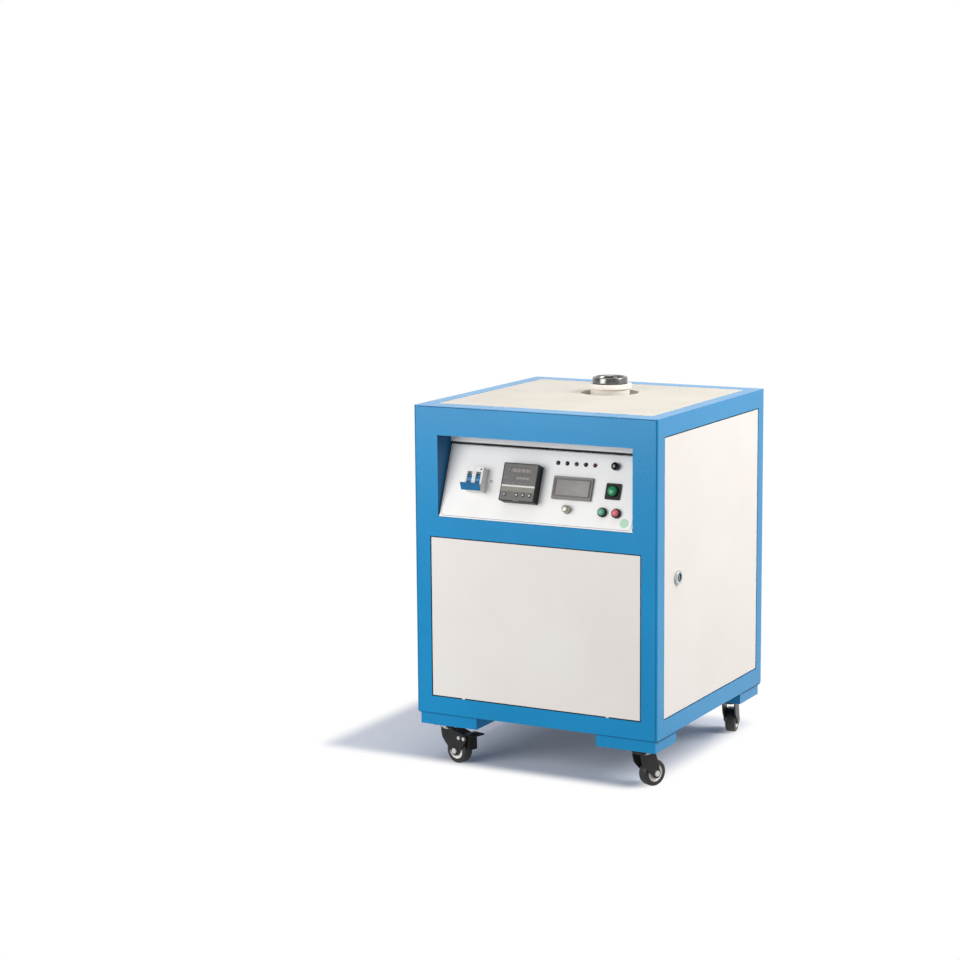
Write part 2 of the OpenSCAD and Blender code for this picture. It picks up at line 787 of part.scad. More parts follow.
// One hose in its upright plane: along, a quarter bend, down, a quarter bend, along
module hose(drop, tail) {
  translate([0, -10, 0]) rotate([-90, 0, 0]) hose_tube(10);
  translate([0, 0, -bend_r]) rotate([90, 0, 90]) hose_bend();
  translate([0, bend_r, -bend_r - drop]) hose_tube(drop);
  translate([0, 2 * bend_r, -bend_r - drop]) rotate([90, 0, 90]) rotate(180) hose_bend();
  translate([0, 2 * bend_r, -2 * bend_r - drop]) rotate([-90, 0, 0]) hose_tube(tail);
}

module hose_tube(len) {
  difference() {
    cylinder(d = hose_d, h = len);
    translate([0, 0, -cut]) cylinder(d = hose_d - 4, h = len + 2 * cut);
  }
}

module hose_bend() {
  rotate_extrude(angle = 90) translate([bend_r, 0]) difference() {
    circle(d = hose_d);
    circle(d = hose_d - 4);
  }
}

// Cooling hoses from the coil's terminals to the fittings in the back panel
module water_hoses() {
  tail = back_inner - 6 - hose_y - 2 * bend_r;
  home() color(black) {
    translate([-coil_r, hose_y, coil_z]) hose(coil_z - fitting_z - 2 * bend_r, tail);
    translate([coil_r, hose_y, coil_top_z]) hose(coil_top_z - fitting_z - 2 * bend_r, tail);
  }
}

// Places of the parts that stand on the floor sheet
bank_y = crucible_y - 28;
board_y = bank_y - 85;
transformer_y = bank_y - 170;
sink_y = bank_y - 160;
supply_x = frame_w / 2 - 140;
sink_x = 135 - frame_w / 2;

// Two resonance capacitors side by side, joined by bus bars on their studs
module capacitor_bank() {
  can_w = 92;
  can_d = 74;
  can_h = 84;
  can_gap = 6;
  stud_h = 10;
  bar_h = 4;
  home() color(dark_grey) translate([0, bank_y, pan_top]) {
    both_sides() translate([can_gap / 2 + can_w / 2, 0, 0]) {
      block(can_w, can_d, can_h);
      for (y = [-20, 20]) translate([0, y, can_h]) cylinder(d = 12, h = stud_h);
    }
    for (y = [-20, 20]) translate([0, y, can_h + stud_h - bar_h]) block(can_w + can_gap + 20, 16, bar_h);
  }
}

// Transformer: laminated core, winding round its middle limb and mounting feet
module transformer() {
  core_w = 100;
  core_d = 44;
  core_h = 84;
  limb = 20;
  wind_d = 78;
  foot_h = 3;
  home() color(dark_grey) translate([supply_x, transformer_y, pan_top]) {
    block(core_w + 24, core_d, foot_h);
    difference() {
      block(core_w, core_d, core_h);
      both_sides() translate([limb * 0.7, -core_d, limb])
        cube([core_w / 2 - 1.7 * limb, 2 * core_d, core_h - 2 * limb]);
    }
    translate([0, 0, limb + 1]) rounded_block(core_w - 2 * limb - 2, wind_d, core_h - 2 * limb - 2, 8);
  }
}

// Finned heat sink with two power modules on its flat back, standing on the floor sheet
module heat_sink() {
  sink_w = 130;
  sink_l = 170;
  base_t = 8;
  fin_h = 34;
  fin_t = 2.5;
  fins = 12;
  module_h = 17;
  home() color(zinc) translate([sink_x, sink_y, pan_top]) {
    for (i = [0 : fins - 1]) translate([-sink_w / 2 + i * (sink_w - fin_t) / (fins - 1), -sink_l / 2, 0])
      cube([fin_t, sink_l, fin_h + 1]);
    translate([0, 0, fin_h]) block(sink_w, sink_l, base_t);
    for (y = [-42, 42]) translate([0, y, fin_h + base_t - 1]) block(94, 34, module_h + 1);
  }
}

// Control board on four stand-offs above the capacitors, carried by the floor sheet
module control_board() {
  board_w = 150;
  board_d = 70;
  pcb_t = 1.6;
  stand = 12;
  home() color([0.1, 0.35, 0.2]) translate([supply_x, board_y, pan_top]) {
    for (x = [-board_w / 2 + 6, board_w / 2 - 6], y = [-board_d / 2 + 6, board_d / 2 - 6])
      translate([x, y, 0]) cylinder(d = 6, h = stand);
    translate([0, 0, stand]) block(board_w, board_d, pcb_t);
    for (x = [-45, -15, 15]) translate([x, 12, stand + pcb_t]) cylinder(d = 18, h = 28);
    translate([48, 8, stand + pcb_t]) block(28, 34, 22);
    translate([-20, -22, stand + pcb_t]) block(90, 12, 12);
  }
}

// Upper end of the control panel: its height and its distance behind the front face
panel_top = recess_z + panel_len * cos(panel_slope);
strip_y = sheet + panel_len * sin(panel_slope);
panel_foot = 0.8;

// Recess: two cheeks, a soffit, a strip above the panel and seats behind the panel
module recess_liner() {
  seat = 12;
  weld = 10;
  gap = 2;
  back = strip_y + 5;
  home() color(blue) {
    both_sides() {
      translate([recess_w / 2, 0, 0]) rotate([90, 0, 90]) linear_extrude(sheet)
        polygon([[sheet, recess_z], [sheet, recess_top + sheet], [back, recess_top + sheet],
          [back, panel_top - gap], [sheet + 6, recess_z]]);
      translate([recess_w / 2 + sheet / 2, sheet, recess_z]) cube([weld, sheet, recess_h]);
      on_panel() translate([recess_w / 2 - seat, 6, -panel_t - sheet])
        cube([seat + sheet, panel_len - 8, sheet]);
    }
    translate([-recess_w / 2, strip_y, panel_top + gap])
      cube([recess_w, sheet, recess_top - panel_top - gap + sheet]);
    translate([-recess_w / 2, sheet, recess_top]) cube([recess_w, strip_y, sheet]);
  }
}

barrel_d = cap_d + 3;
switch_barrel_d = switch_d + 4;
bush_d = knob_shaft_d + 4;
lamp_barrel_d = lamp_d - 2.4;

// Hole through the control panel, a little wider than what passes it
module panel_hole(x, up, w, h) {
  on_panel(x, up, -panel_t - cut) block(w + 2 * clear, h + 2 * clear, panel_t + 2 * cut);
}

module round_panel_hole(x, up, d) {
  on_panel(x, up, -panel_t - cut) cylinder(d = d + 2 * clear, h = panel_t + 2 * cut);
}

// Sloped control panel with the cut-outs of its controls
module control_panel() {
  panel_w = recess_w - 1;
  home() color(off_white) difference() {
    on_panel() translate([-panel_w / 2, panel_foot, -panel_t])
      cube([panel_w, panel_len - panel_foot, panel_t]);
    panel_hole(breaker_x, row_mid + 1, breaker_w, breaker_nose_h);
    panel_hole(controller_x, row_mid, controller_size - 4.4, controller_size - 4.4);
    panel_hole(meter_x, row_mid - 0.5, meter_w - 4, meter_h - 4);
    for (i = [0 : lamp_count - 1]) round_panel_hole(lamp_x + i * lamp_step, row_top, lamp_barrel_d);
    round_panel_hole(switch_x, row_mid, switch_barrel_d);
    round_panel_hole(start_x, row_low, barrel_d);
    round_panel_hole(stop_x, row_low, barrel_d);
    round_panel_hole(power_knob_x, row_low, bush_d);
    round_panel_hole(mode_knob_x, row_top, bush_d);
  }
}

toggle_pin_d = 4;
pole_w = 10;
pole_x = breaker_w / 4;
toggle_lean = 40;

// Two-pole circuit breaker: nose through the panel, body behind it, slots for the toggles
module breaker_body() {
  body_h = 80;
  body_d = 44;
  home() color(off_white) on_panel(breaker_x, row_mid) difference() {
    union() {
      translate([0, 1, -panel_t - 1]) rounded_block(breaker_w, breaker_nose_h, breaker_out + panel_t + 1, 1);
      translate([0, 1, -panel_t - body_d]) block(breaker_w, body_h, body_d);
    }
    for (x = [-pole_x, pole_x]) translate([x, 0, toggle_axis]) {
      rotate([0, 90, 0]) translate([0, 0, -pole_w / 2 - clear])
        cylinder(r = toggle_drum_r + clear, h = pole_w + 2 * clear);
      translate([0, 0, 2]) block(pole_w + 2 * clear, 28, breaker_out);
    }
    translate([-breaker_w / 2 + 2, 0, toggle_axis]) rotate([0, 90, 0])
      cylinder(d = toggle_pin_d + 2 * run, h = breaker_w - 4);
  }
}

// Both toggles on their common pin, joined by a handle bar
module breaker_toggle() {
  home() color(blue) on_panel(breaker_x, row_mid, toggle_axis) {
    for (x = [-pole_x, pole_x]) translate([x, 0, 0]) {
      rotate([0, 90, 0]) translate([0, 0, -pole_w / 2]) cylinder(r = toggle_drum_r, h = pole_w);
      rotate([toggle_lean, 0, 0]) block(pole_w - 2, 4, toggle_lever);
    }
    translate([-breaker_w / 2 + 2.5, 0, 0]) rotate([0, 90, 0]) cylinder(d = toggle_pin_d, h = breaker_w - 5);
    rotate([toggle_lean, 0, 0]) translate([0, 0, toggle_lever - toggle_bar_t / 2])
      block(breaker_w + 3, toggle_bar_h, toggle_bar_t);
  }
}

// Keys of the temperature controller: sideways places, their height and the caps' stand-out
key_x = [-25.4, -0.6, 12.9, 26.3];
key_up_y = -23.8;
key_out = 1.2;
key_skin = 2;
key_lip = 1;

// Temperature controller: bezel with two display windows and four key bores, body behind
module controller_case() {
  body_d = 70;
  body_w = controller_size - 4.4;
  home() color(dark_grey) on_panel(controller_x, row_mid) difference() {
    union() {
      rounded_block(controller_size, controller_size, controller_out, 2);
      translate([0, 0, -body_d]) block(body_w, body_w, body_d + 1);
    }
    translate([1.2, 22.2, controller_out - 0.6]) block(43.2, 9.3, 1);
    translate([6, 7.9, controller_out - 0.6]) block(30.4, 7.3, 1);
    for (x = key_x) translate([x, key_up_y, controller_out]) {
      translate([0, 0, -key_skin - cut]) cylinder(d = key_d + 2 * clear, h = key_skin + 2 * cut);
      translate([0, 0, -key_skin - key_lip - key_travel - 2 * clear])
        cylinder(d = key_d + 2 + 2 * clear, h = key_lip + key_travel + 2 * clear);
    }
  }
}

// One key: a round cap with a retaining lip under the bezel's skin
module key(i) {
  home() color(black) on_panel(controller_x + key_x[i], row_mid + key_up_y, controller_out) {
    translate([0, 0, -key_skin - clear - key_lip]) cylinder(d = key_d + 2, h = key_lip);
    translate([0, 0, -key_skin - clear - key_lip])
      cylinder(d = key_d, h = key_skin + clear + key_lip + key_out);
  }
}

module key_set() {
  key(0);
}

module key_left() {
  key(1);
}

module key_down() {
  key(2);
}

module key_up() {
  key(3);
}

// Digital panel meter with a sunken window
module digital_meter() {
  body_d = 26;
  home() color(black) on_panel(meter_x, row_mid - 0.5) difference() {
    union() {
      rounded_block(meter_w, meter_h, meter_out, 1.5);
      translate([0, 0, -body_d]) block(meter_w - 4, meter_h - 4, body_d + 1);
    }
    translate([0, 0.5, meter_out - 0.8]) block(meter_w - 5, meter_h - 11, 1);
  }
}

// Indicator lamps: rim, lens, barrel through the panel and a nut behind
module indicator_lamps() {
  nut_h = 2;
  home() color([0.6, 0.1, 0.1]) for (i = [0 : lamp_count - 1]) on_panel(lamp_x + i * lamp_step, row_top) {
    cylinder(d = lamp_d, h = 1.5);
    cylinder(d = lamp_d - 2, h = 3.5);
    translate([0, 0, -14]) cylinder(d = lamp_barrel_d, h = 15);
    translate([0, 0, -panel_t - nut_h]) hex(lamp_d, nut_h);
  }
}

button_cage = 12;
retainer = 1.5;
collar_h = 6;
bezel_h = 3;
switch_ring_h = 4.5;
bush_lip = 1;

// Tubular bush of a push button: collar, barrel through the panel and a nut behind
module button_bush(x) {
  on_panel(x, row_low) difference() {
    union() {
      cylinder(d = collar_d, h = collar_h);
      translate([0, 0, -button_cage]) cylinder(d = barrel_d, h = button_cage + 1);
      translate([0, 0, -panel_t - 4]) hex(barrel_d + 4, 4);
    }
    translate([0, 0, -button_cage - cut])
      cylinder(d = cap_d + 2 * clear, h = button_cage + collar_h + 2 * cut);
  }
}

// Bush of a knob's shaft
module knob_bush(x, up) {
  on_panel(x, up) difference() {
    union() {
      cylinder(d = bush_d + 3, h = bush_lip);
      translate([0, 0, -button_cage]) cylinder(d = bush_d, h = button_cage + 0.5);
      translate([0, 0, -panel_t - 3]) hex(bush_d + 3, 3);
    }
    translate([0, 0, -button_cage - cut])
      cylinder(d = knob_shaft_d + 2 * run, h = button_cage + bush_lip + 2 * cut);
  }
}

// Bushes of the buttons, the knobs and the lamp switch
module panel_bushes() {
  home() color(black) {
    button_bush(start_x);
    button_bush(stop_x);
    knob_bush(power_knob_x, row_low);
    knob_bush(mode_knob_x, row_top);
    on_panel(switch_x, row_mid) difference() {
      union() {
        rounded_block(switch_size, switch_size, bezel_h, 2.5);
        cylinder(d = switch_barrel_d, h = switch_ring_h);
        translate([0, 0, -button_cage]) cylinder(d = switch_barrel_d, h = button_cage + 1);
        translate([0, 0, -panel_t - 4]) hex(switch_barrel_d + 4, 4);
      }
      translate([0, 0, -button_cage - cut])
        cylinder(d = switch_d + 2 * clear, h = button_cage + switch_ring_h + 2 * cut);
    }
  }
}

// Button that slides in its bush, held by a wider disc behind the barrel
module plunger(d, out) {
  translate([0, 0, -button_cage - clear - retainer]) cylinder(d = d + 2.4, h = retainer);
  translate([0, 0, -button_cage - clear - retainer])
    cylinder(d = d, h = button_cage + clear + retainer + out);
}

module lamp_switch() {
  home() color([0.2, 0.75, 0.35]) on_panel(switch_x, row_mid) plunger(switch_d, switch_ring_h + 3);
}

module start_button() {
  home() color([0.15, 0.6, 0.3]) on_panel(start_x, row_low) plunger(cap_d, cap_out);
}

module stop_button() {
  home() color([0.75, 0.15, 0.15]) on_panel(stop_x, row_low) plunger(cap_d, cap_out);
}

// Knob on a shaft that turns in its bush, with a retaining disc behind
module knob(d, h) {
  under = bush_lip + clear;
  pointer_w = 1.2;
  translate([0, 0, -button_cage - clear - retainer]) cylinder(d = knob_shaft_d + 3, h = retainer);
  translate([0, 0, -button_cage - clear - retainer])
    cylinder(d = knob_shaft_d, h = button_cage + clear + retainer + h - 1);
  difference() {
    translate([0, 0, under]) cylinder(d = d, h = h - under);
    translate([0, d / 4 + 1, h - 0.6]) block(pointer_w, d / 2, 1);
  }
}

module power_knob() {
  home() color(dark_grey) on_panel(power_knob_x, row_low) knob(power_knob_d, power_knob_h);
}

module mode_knob() {
  home() color(black) on_panel(mode_knob_x, row_top) knob(mode_knob_d, mode_knob_h);
}

// Places a child on the left door lock's axis, z = 0 on the door's face, pointing inwards
module at_lock() {
  translate([-door_x, lock_y, lock_z]) rotate([0, 90, 0]) children();
}

lug_h = 14;

// Left side door: folded tray with lugs on its hinge axis and the hole of its lock
module door() {
  lug_w = hinge_in + 4.5;
  lug_d = hinge_back + 6;
  difference() {
    union() {
      translate([-door_x, (side_front + side_back) / 2, door_z]) rotate(-90) tray(door_w, door_h);
      for (z = [door_z, door_z + door_h - lug_h])
        translate([-door_x, hinge_y + hinge_back - lug_d, z]) cube([lug_w, lug_d, lug_h]);
    }
    translate([-hinge_x, hinge_y, door_z - cut]) cylinder(d = hinge_pin_d + 2 * run, h = door_h + 2 * cut);
    at_lock() translate([0, 0, -cut]) cylinder(d = lock_barrel_d, h = tray_t + 2 * cut);
  }
}

module left_door() {
  home() color(off_white) door();
}

module right_door() {
  home() color(off_white) mirror([1, 0, 0]) door();
}

lock_barrel_len = tray_depth - 2;
cam_at = door_x - cam_x;

// Lock housing: head outside the door, barrel and nut inside it, bored for the core
module lock_housing() {
  nut_h = 5;
  at_lock() difference() {
    union() {
      translate([0, 0, -lock_head_t]) cylinder(d = lock_head_d, h = lock_head_t);
      translate([0, 0, -1]) cylinder(d = lock_barrel_d, h = lock_barrel_len + 1);
      translate([0, 0, tray_t]) hex(lock_barrel_d + 6, nut_h);
    }
    translate([0, 0, -lock_head_t - cut])
      cylinder(d = lock_core_d + 2 * run, h = lock_barrel_len + lock_head_t + 2 * cut);
  }
}

module left_lock_housing() {
  home() color(zinc) lock_housing();
}

module right_lock_housing() {
  home() color(zinc) mirror([1, 0, 0]) lock_housing();
}

// Lock core with its cam, which hangs down when open and turns forwards to lock
module lock_cam() {
  core_face = 1;
  slot_w = 3;
  at_lock() difference() {
    union() {
      translate([0, 0, core_face - lock_head_t])
        cylinder(d = lock_core_d, h = lock_head_t - core_face + cam_at + cam_t);
      translate([0, 0, lock_barrel_len + clear])
        cylinder(d = lock_core_d + 4, h = cam_at - lock_barrel_len - clear);
      translate([-cam_w / 2, -cam_w / 2, cam_at]) cube([cam_w / 2 + cam_reach, cam_w, cam_t]);
      translate([0, 0, cam_at + cam_t]) hex(10, 3);
    }
    translate([0, 0, core_face - lock_head_t - cut]) block(slot_w, 8, 2 + cut);
  }
}

module left_lock_cam() {
  home() color(zinc) lock_cam();
}

module right_lock_cam() {
  home() color(zinc) mirror([1, 0, 0]) lock_cam();
}

// Headed pins through the rails' flanges into the door lugs
module hinge_pins() {
  head_d = 7.6;
  top_z = frame_h - top_rail_h;
  low_z = bottom_rail_h - sheet;
  home() color(zinc) both_sides() translate([-hinge_x, hinge_y, 0]) {
    translate([0, 0, top_z + sheet]) cylinder(d = head_d, h = pin_head_t);
    translate([0, 0, top_z - panel_gap - pin_grip])
      cylinder(d = hinge_pin_d, h = pin_grip + panel_gap + sheet + 1);
    translate([0, 0, low_z - pin_head_t]) cylinder(d = head_d, h = pin_head_t);
    translate([0, 0, low_z - 1]) cylinder(d = hinge_pin_d, h = pin_grip + panel_gap + sheet + 1);
  }
}

kingpin_d = 10;
race_h = 2.5;
crown_top = plate_t + race_h + clear;
crown_h = 7.7;
head_h = 2.5;

// Caster plates with their races and the kingpins that the forks turn on
module caster_plates() {
  pin_len = crown_top + crown_h + clear;
  home() color(black) difference() {
    at_swivels() {
      translate([0, 0, -plate_t]) rounded_block(plate_w, plate_d, plate_t, 5);
      translate([0, 0, -plate_t - race_h]) cylinder(d = 32, h = race_h + 1);
      translate([0, 0, -pin_len]) cylinder(d = kingpin_d, h = pin_len - 1);
      translate([0, 0, -pin_len - head_h]) cylinder(d = kingpin_d + 6, h = head_h + 0.1);
    }
    at_plate_bolts() translate([0, 0, -plate_t - cut]) cylinder(d = bolt_d + 0.4, h = plate_t + 2 * cut);
  }
}

// Bolts and nuts that hold the caster plates under the feet
module caster_bolts() {
  home() color(zinc) at_plate_bolts() {
    translate([0, 0, -plate_t - 4]) hex(9, 4);
    translate([0, 0, -plate_t - 1]) cylinder(d = bolt_d, h = plate_t + foot_t + 7);
    translate([0, 0, foot_t]) hex(9, 4.5);
  }
}

axle_z = wheel_d / 2 - caster_h;
cheek_in = wheel_w / 2 + 0.5;
cheek_t = 3;
crown_low = -crown_top - crown_h;
pedal_x = trail + 23.5;
pedal_z = axle_z + 27;
pedal_pin_d = 5;
rivet_d = 7;

// Upright side plate of a fork, drawn in the plane of the wheel
module cheek(braked) {
  shoulder_z = -crown_top - 2;
  linear_extrude(cheek_t) {
    translate([trail, axle_z]) circle(9.5);
    polygon([[-14, shoulder_z], [16, shoulder_z], [20, crown_low], [trail + 9.5, axle_z + 1],
      [trail - 6, axle_z - 7], [-5, axle_z + 15], [-11, axle_z + 22], [-14, crown_low - 6]]);
    if (braked) {
      translate([pedal_x, pedal_z]) circle(7);
      polygon([[10, shoulder_z], [16, shoulder_z], [20, crown_low], [pedal_x + 1, pedal_z + 6.9],
        [pedal_x + 5.5, pedal_z - 4.3], [trail + 8.5, axle_z - 4], [trail, axle_z]]);
    }
  }
}

// Swivel fork: crown bored for the kingpin, two side plates, the axle and, if braked, rivets
module fork(braked = false) {
  crown_r = 22;
  out = cheek_in + cheek_t;
  difference() {
    union() {
      translate([0, 0, -crown_top - 3]) cylinder(r = crown_r, h = 3);
      translate([0, 0, crown_low]) cylinder(r1 = crown_r - 6, r2 = crown_r, h = crown_h - 2);
      for (y = [-cheek_in, out]) translate([0, y, 0]) rotate([90, 0, 0]) cheek(braked);
    }
    translate([0, 0, crown_low - cut]) cylinder(d = kingpin_d + 2 * run, h = crown_h + 2 * cut);
  }
  translate([trail, 0, axle_z]) rotate([90, 0, 0]) {
    translate([0, 0, -cheek_in - 1]) cylinder(d = axle_d, h = 2 * cheek_in + 2);
    for (z = [-out - 3, out]) translate([0, 0, z]) hex(10, 3);
  }
  if (braked) {
    translate([pedal_x, 0, pedal_z]) rotate([90, 0, 0])
      translate([0, 0, -out]) cylinder(d = pedal_pin_d, h = 2 * out);
    for (x = [pedal_x - 13, pedal_x], z = [-out - 1.4, out - 0.1])
      translate([x, 0, pedal_z]) rotate([90, 0, 0]) translate([0, 0, z]) cylinder(d = rivet_d, h = 1.5);
  }
}

// Wheel: a rounded tread on a hub that is bored for the axle
module wheel() {
  r = wheel_d / 2;
  half = wheel_w / 2;
  translate([trail, 0, axle_z]) rotate([90, 0, 0]) rotate_extrude($fn = 72)
    polygon([[axle_d / 2 + run, -half], [8, -half], [9, 2 - half], [15, 2 - half], [16, -half],
      [r - 3, -half], [r - 0.9, 1.2 - half], [r, 3.5 - half], [r, half - 3.5], [r - 0.9, half - 1.2],
      [r - 3, half], [16, half], [15, half - 2], [9, half - 2], [8, half], [axle_d / 2 + run, half]]);
}

// Brake pedal: a bored hub with a shoe behind the tread and a foot plate above the fork
module pedal() {
  hub_w = wheel_w - 1;
  hub_r = 5;
  pad_w = 30;
  pad_t = 3;
  pad_x = 2.5;
  pad_z = 8;
  web_t = 4;
  shoe_x = 6.5;
  shoe_t = 7.5;
  shoe_len = 20.5;
  reach = pedal_reach - pedal_x;
  translate([pedal_x, 0, pedal_z]) difference() {
    union() {
      rotate([90, 0, 0]) translate([0, 0, -hub_w / 2]) cylinder(r = hub_r, h = hub_w);
      translate([0, -hub_w / 2, -1]) cube([web_t, hub_w, pad_z + 2]);
      translate([shoe_x, -hub_w / 2, -shoe_len]) cube([shoe_t, hub_w, shoe_len + pad_z + 1]);
      translate([web_t - 1, -hub_w / 2, 1]) cube([shoe_x - web_t + 2, hub_w, pad_z]);
      translate([pad_x, -pad_w / 2, pad_z]) cube([reach - pad_x, pad_w, pad_t]);
    }
    rotate([90, 0, 0]) translate([0, 0, -hub_w]) cylinder(d = pedal_pin_d + 2 * run, h = 2 * hub_w);
  }
}

// Angle of each caster about its swivel axis: the way its wheel trails
angle_front_left = -15.3;
angle_front_right = 64.7;
angle_rear_left = 75;
angle_rear_right = 101.5;

// Places a child on one swivel axis, turned to the caster's angle
module at_caster(side, rear, angle) {
  home() translate([side * swivel_x, rear ? frame_d - caster_in_y : caster_in_y, -foot_h])
    rotate(angle) children();
}

module fork_front_left() {
  color(black) at_caster(-1, false, angle_front_left) fork(braked = true);
}

module fork_front_right() {
  color(black) at_caster(1, false, angle_front_right) fork();
}

module fork_rear_left() {
  color(black) at_caster(-1, true, angle_rear_left) fork(braked = true);
}

module fork_rear_right() {
  color(black) at_caster(1, true, angle_rear_right) fork();
}

module wheel_front_left() {
  color(black) at_caster(-1, false, angle_front_left) wheel();
}

module wheel_front_right() {
  color(black) at_caster(1, false, angle_front_right) wheel();
}

module wheel_rear_left() {
  color(black) at_caster(-1, true, angle_rear_left) wheel();
}

module wheel_rear_right() {
  color(black) at_caster(1, true, angle_rear_right) wheel();
}

module pedal_front_left() {
  color(black) at_caster(-1, false, angle_front_left) pedal();
}

module pedal_rear_left() {
  color(black) at_caster(-1, true, angle_rear_left) pedal();
}

corner_posts();
front_header();
top_rails();
bottom_rails();
caster_feet();
bottom_pan();
back_panel();
front_panel();
recess_liner();
control_panel();
top_board();
furnace_shelf();
refractory_block();
crucible_sleeve();
induction_coil();
coil_terminals();
capacitor_bank();
transformer();
heat_sink();
control_board();
water_hoses();
water_fittings();
cable_gland();
fan_housing();
fan_rotor();
breaker_body();
breaker_toggle();
controller_case();
key_set();
key_left();
key_down();
key_up();
digital_meter();
indicator_lamps();
panel_bushes();
lamp_switch();
start_button();
stop_button();
power_knob();
mode_knob();
crucible();
left_door();
right_door();
left_lock_housing();
right_lock_housing();
left_lock_cam();
right_lock_cam();
hinge_pins();
caster_plates();
caster_bolts();
fork_front_left();
fork_front_right();
fork_rear_left();
fork_rear_right();
wheel_front_left();
wheel_front_right();
wheel_rear_left();
wheel_rear_right();
pedal_front_left();
pedal_rear_left();
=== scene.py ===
# %% [markdown]
# # Electric gold melting furnace
# The imported CAD parts are the fixed frame: they already have the right size and place. Each
# cell below gives a group of them its real finish, or replaces a part by a piece that shows what a
# solid made for measuring leaves out, such as rounded folds, domed caps and ridges.

import json
import math

import bmesh
import bpy
from mathutils import Matrix, Vector

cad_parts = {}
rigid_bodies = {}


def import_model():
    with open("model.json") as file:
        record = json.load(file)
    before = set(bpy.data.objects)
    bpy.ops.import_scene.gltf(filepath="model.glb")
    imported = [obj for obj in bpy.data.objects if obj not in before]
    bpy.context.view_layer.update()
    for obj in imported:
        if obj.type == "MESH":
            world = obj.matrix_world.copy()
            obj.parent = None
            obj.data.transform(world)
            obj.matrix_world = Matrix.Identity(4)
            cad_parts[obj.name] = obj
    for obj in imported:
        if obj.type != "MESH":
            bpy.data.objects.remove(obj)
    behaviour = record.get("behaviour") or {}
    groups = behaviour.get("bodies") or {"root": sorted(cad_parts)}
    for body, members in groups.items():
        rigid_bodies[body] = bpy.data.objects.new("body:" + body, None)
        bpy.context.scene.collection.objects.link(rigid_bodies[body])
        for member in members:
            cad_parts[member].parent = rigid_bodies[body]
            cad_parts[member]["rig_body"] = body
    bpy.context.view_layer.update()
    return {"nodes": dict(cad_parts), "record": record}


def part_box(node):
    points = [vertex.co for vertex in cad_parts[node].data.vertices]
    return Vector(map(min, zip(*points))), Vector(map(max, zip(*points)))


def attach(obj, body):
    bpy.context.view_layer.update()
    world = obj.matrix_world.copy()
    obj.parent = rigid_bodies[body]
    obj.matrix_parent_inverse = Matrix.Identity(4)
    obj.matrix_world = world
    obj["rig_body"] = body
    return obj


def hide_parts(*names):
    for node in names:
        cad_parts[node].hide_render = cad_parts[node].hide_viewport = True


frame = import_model()

# %% [markdown]
# ## Places
# Everything is in metres. The cabinet's own numbers are in millimetres from its front face and
# its underside, as a sheet-metal drawing has them, so one function turns them into the frame.
# The control panel leans back, and its controls are laid out on its own plane: x across, y up the
# slope and z out of it. One matrix takes a piece from there to the frame. The panel's controls
# stand in three rows, and each caster has its place and the angle that its wheel trails at.

# %% Coordinates of the cabinet, the panel and the casters
MM = 0.001
FRONT_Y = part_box("front_header")[0].y / MM
UNDERSIDE_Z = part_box("bottom_rails")[0].z / MM
SLOPE = 21.3
PANEL_FOOT_Y = 1.5
PANEL_FOOT_Z = 380.2
TOP_ROW, MIDDLE_ROW, LOW_ROW = 119, 73, 33
FOOT_HEIGHT = 24
CASTERS = {
    "front_left": (-202, 44, -15.3),
    "front_right": (202, 44, 64.7),
    "rear_left": (-202, 459, 75),
    "rear_right": (202, 459, 101.5),
}
SIDES = {"left": -1, "right": 1}


def shift(x, y, z=0.0):
    """Matrix that moves by a distance in millimetres."""
    return Matrix.Translation(Vector((x, y, z)) * MM)


def rotation(degrees, axis):
    """Matrix that turns about the X, Y or Z axis."""
    return Matrix.Rotation(math.radians(degrees), 4, axis)


def at(x, y, z):
    """Matrix of a place in the cabinet, in millimetres."""
    return shift(x, FRONT_Y + y, UNDERSIDE_Z + z)


def on_panel(x, up, out=0.0):
    """Matrix of a place on the sloped control panel, with z out of its face."""
    return at(0, PANEL_FOOT_Y, PANEL_FOOT_Z) @ rotation(90 - SLOPE, "X") @ shift(x, up, out)


def on_caster(corner):
    """Matrix of a caster's swivel axis under its foot, turned the way its wheel trails."""
    x, y, angle = CASTERS[corner]
    return at(x, y, -FOOT_HEIGHT) @ rotation(angle, "Z")


# %% [markdown]
# ## Camera
# The photograph's straight edges gave the place and the lens of its camera: about four metres
# away at chest height, to the right of the cabinet, with a long lens that keeps the sides almost
# parallel. It is set first, because every look at a piece is judged from there.

# %% Camera
AZIMUTH, ELEVATION, ROLL = math.radians(-28.67), math.radians(9.12), math.radians(-0.5)
EYE = (1959.5, -3785, 1148.5)
LENS_MM, SENSOR_MM = 88.45, 36
FARTHEST = 60
look = Vector(
    (
        math.sin(AZIMUTH) * math.cos(ELEVATION),
        math.cos(AZIMUTH) * math.cos(ELEVATION),
        -math.sin(ELEVATION),
    )
)
right = Vector((math.cos(AZIMUTH), -math.sin(AZIMUTH), 0))
up = right.cross(look)
turned_right = math.cos(ROLL) * right + math.sin(ROLL) * up
turned_up = -math.sin(ROLL) * right + math.cos(ROLL) * up
bpy.ops.object.camera_add()
camera = bpy.context.object
camera.name = "photo_camera"
camera.data.sensor_width = SENSOR_MM
camera.data.lens = LENS_MM
camera.data.clip_end = FARTHEST
axes = Matrix((turned_right, turned_up, -look)).transposed().to_4x4()
camera.matrix_world = at(*EYE) @ axes
bpy.context.scene.camera = camera
print("camera at", [round(v, 3) for v in camera.matrix_world.translation])

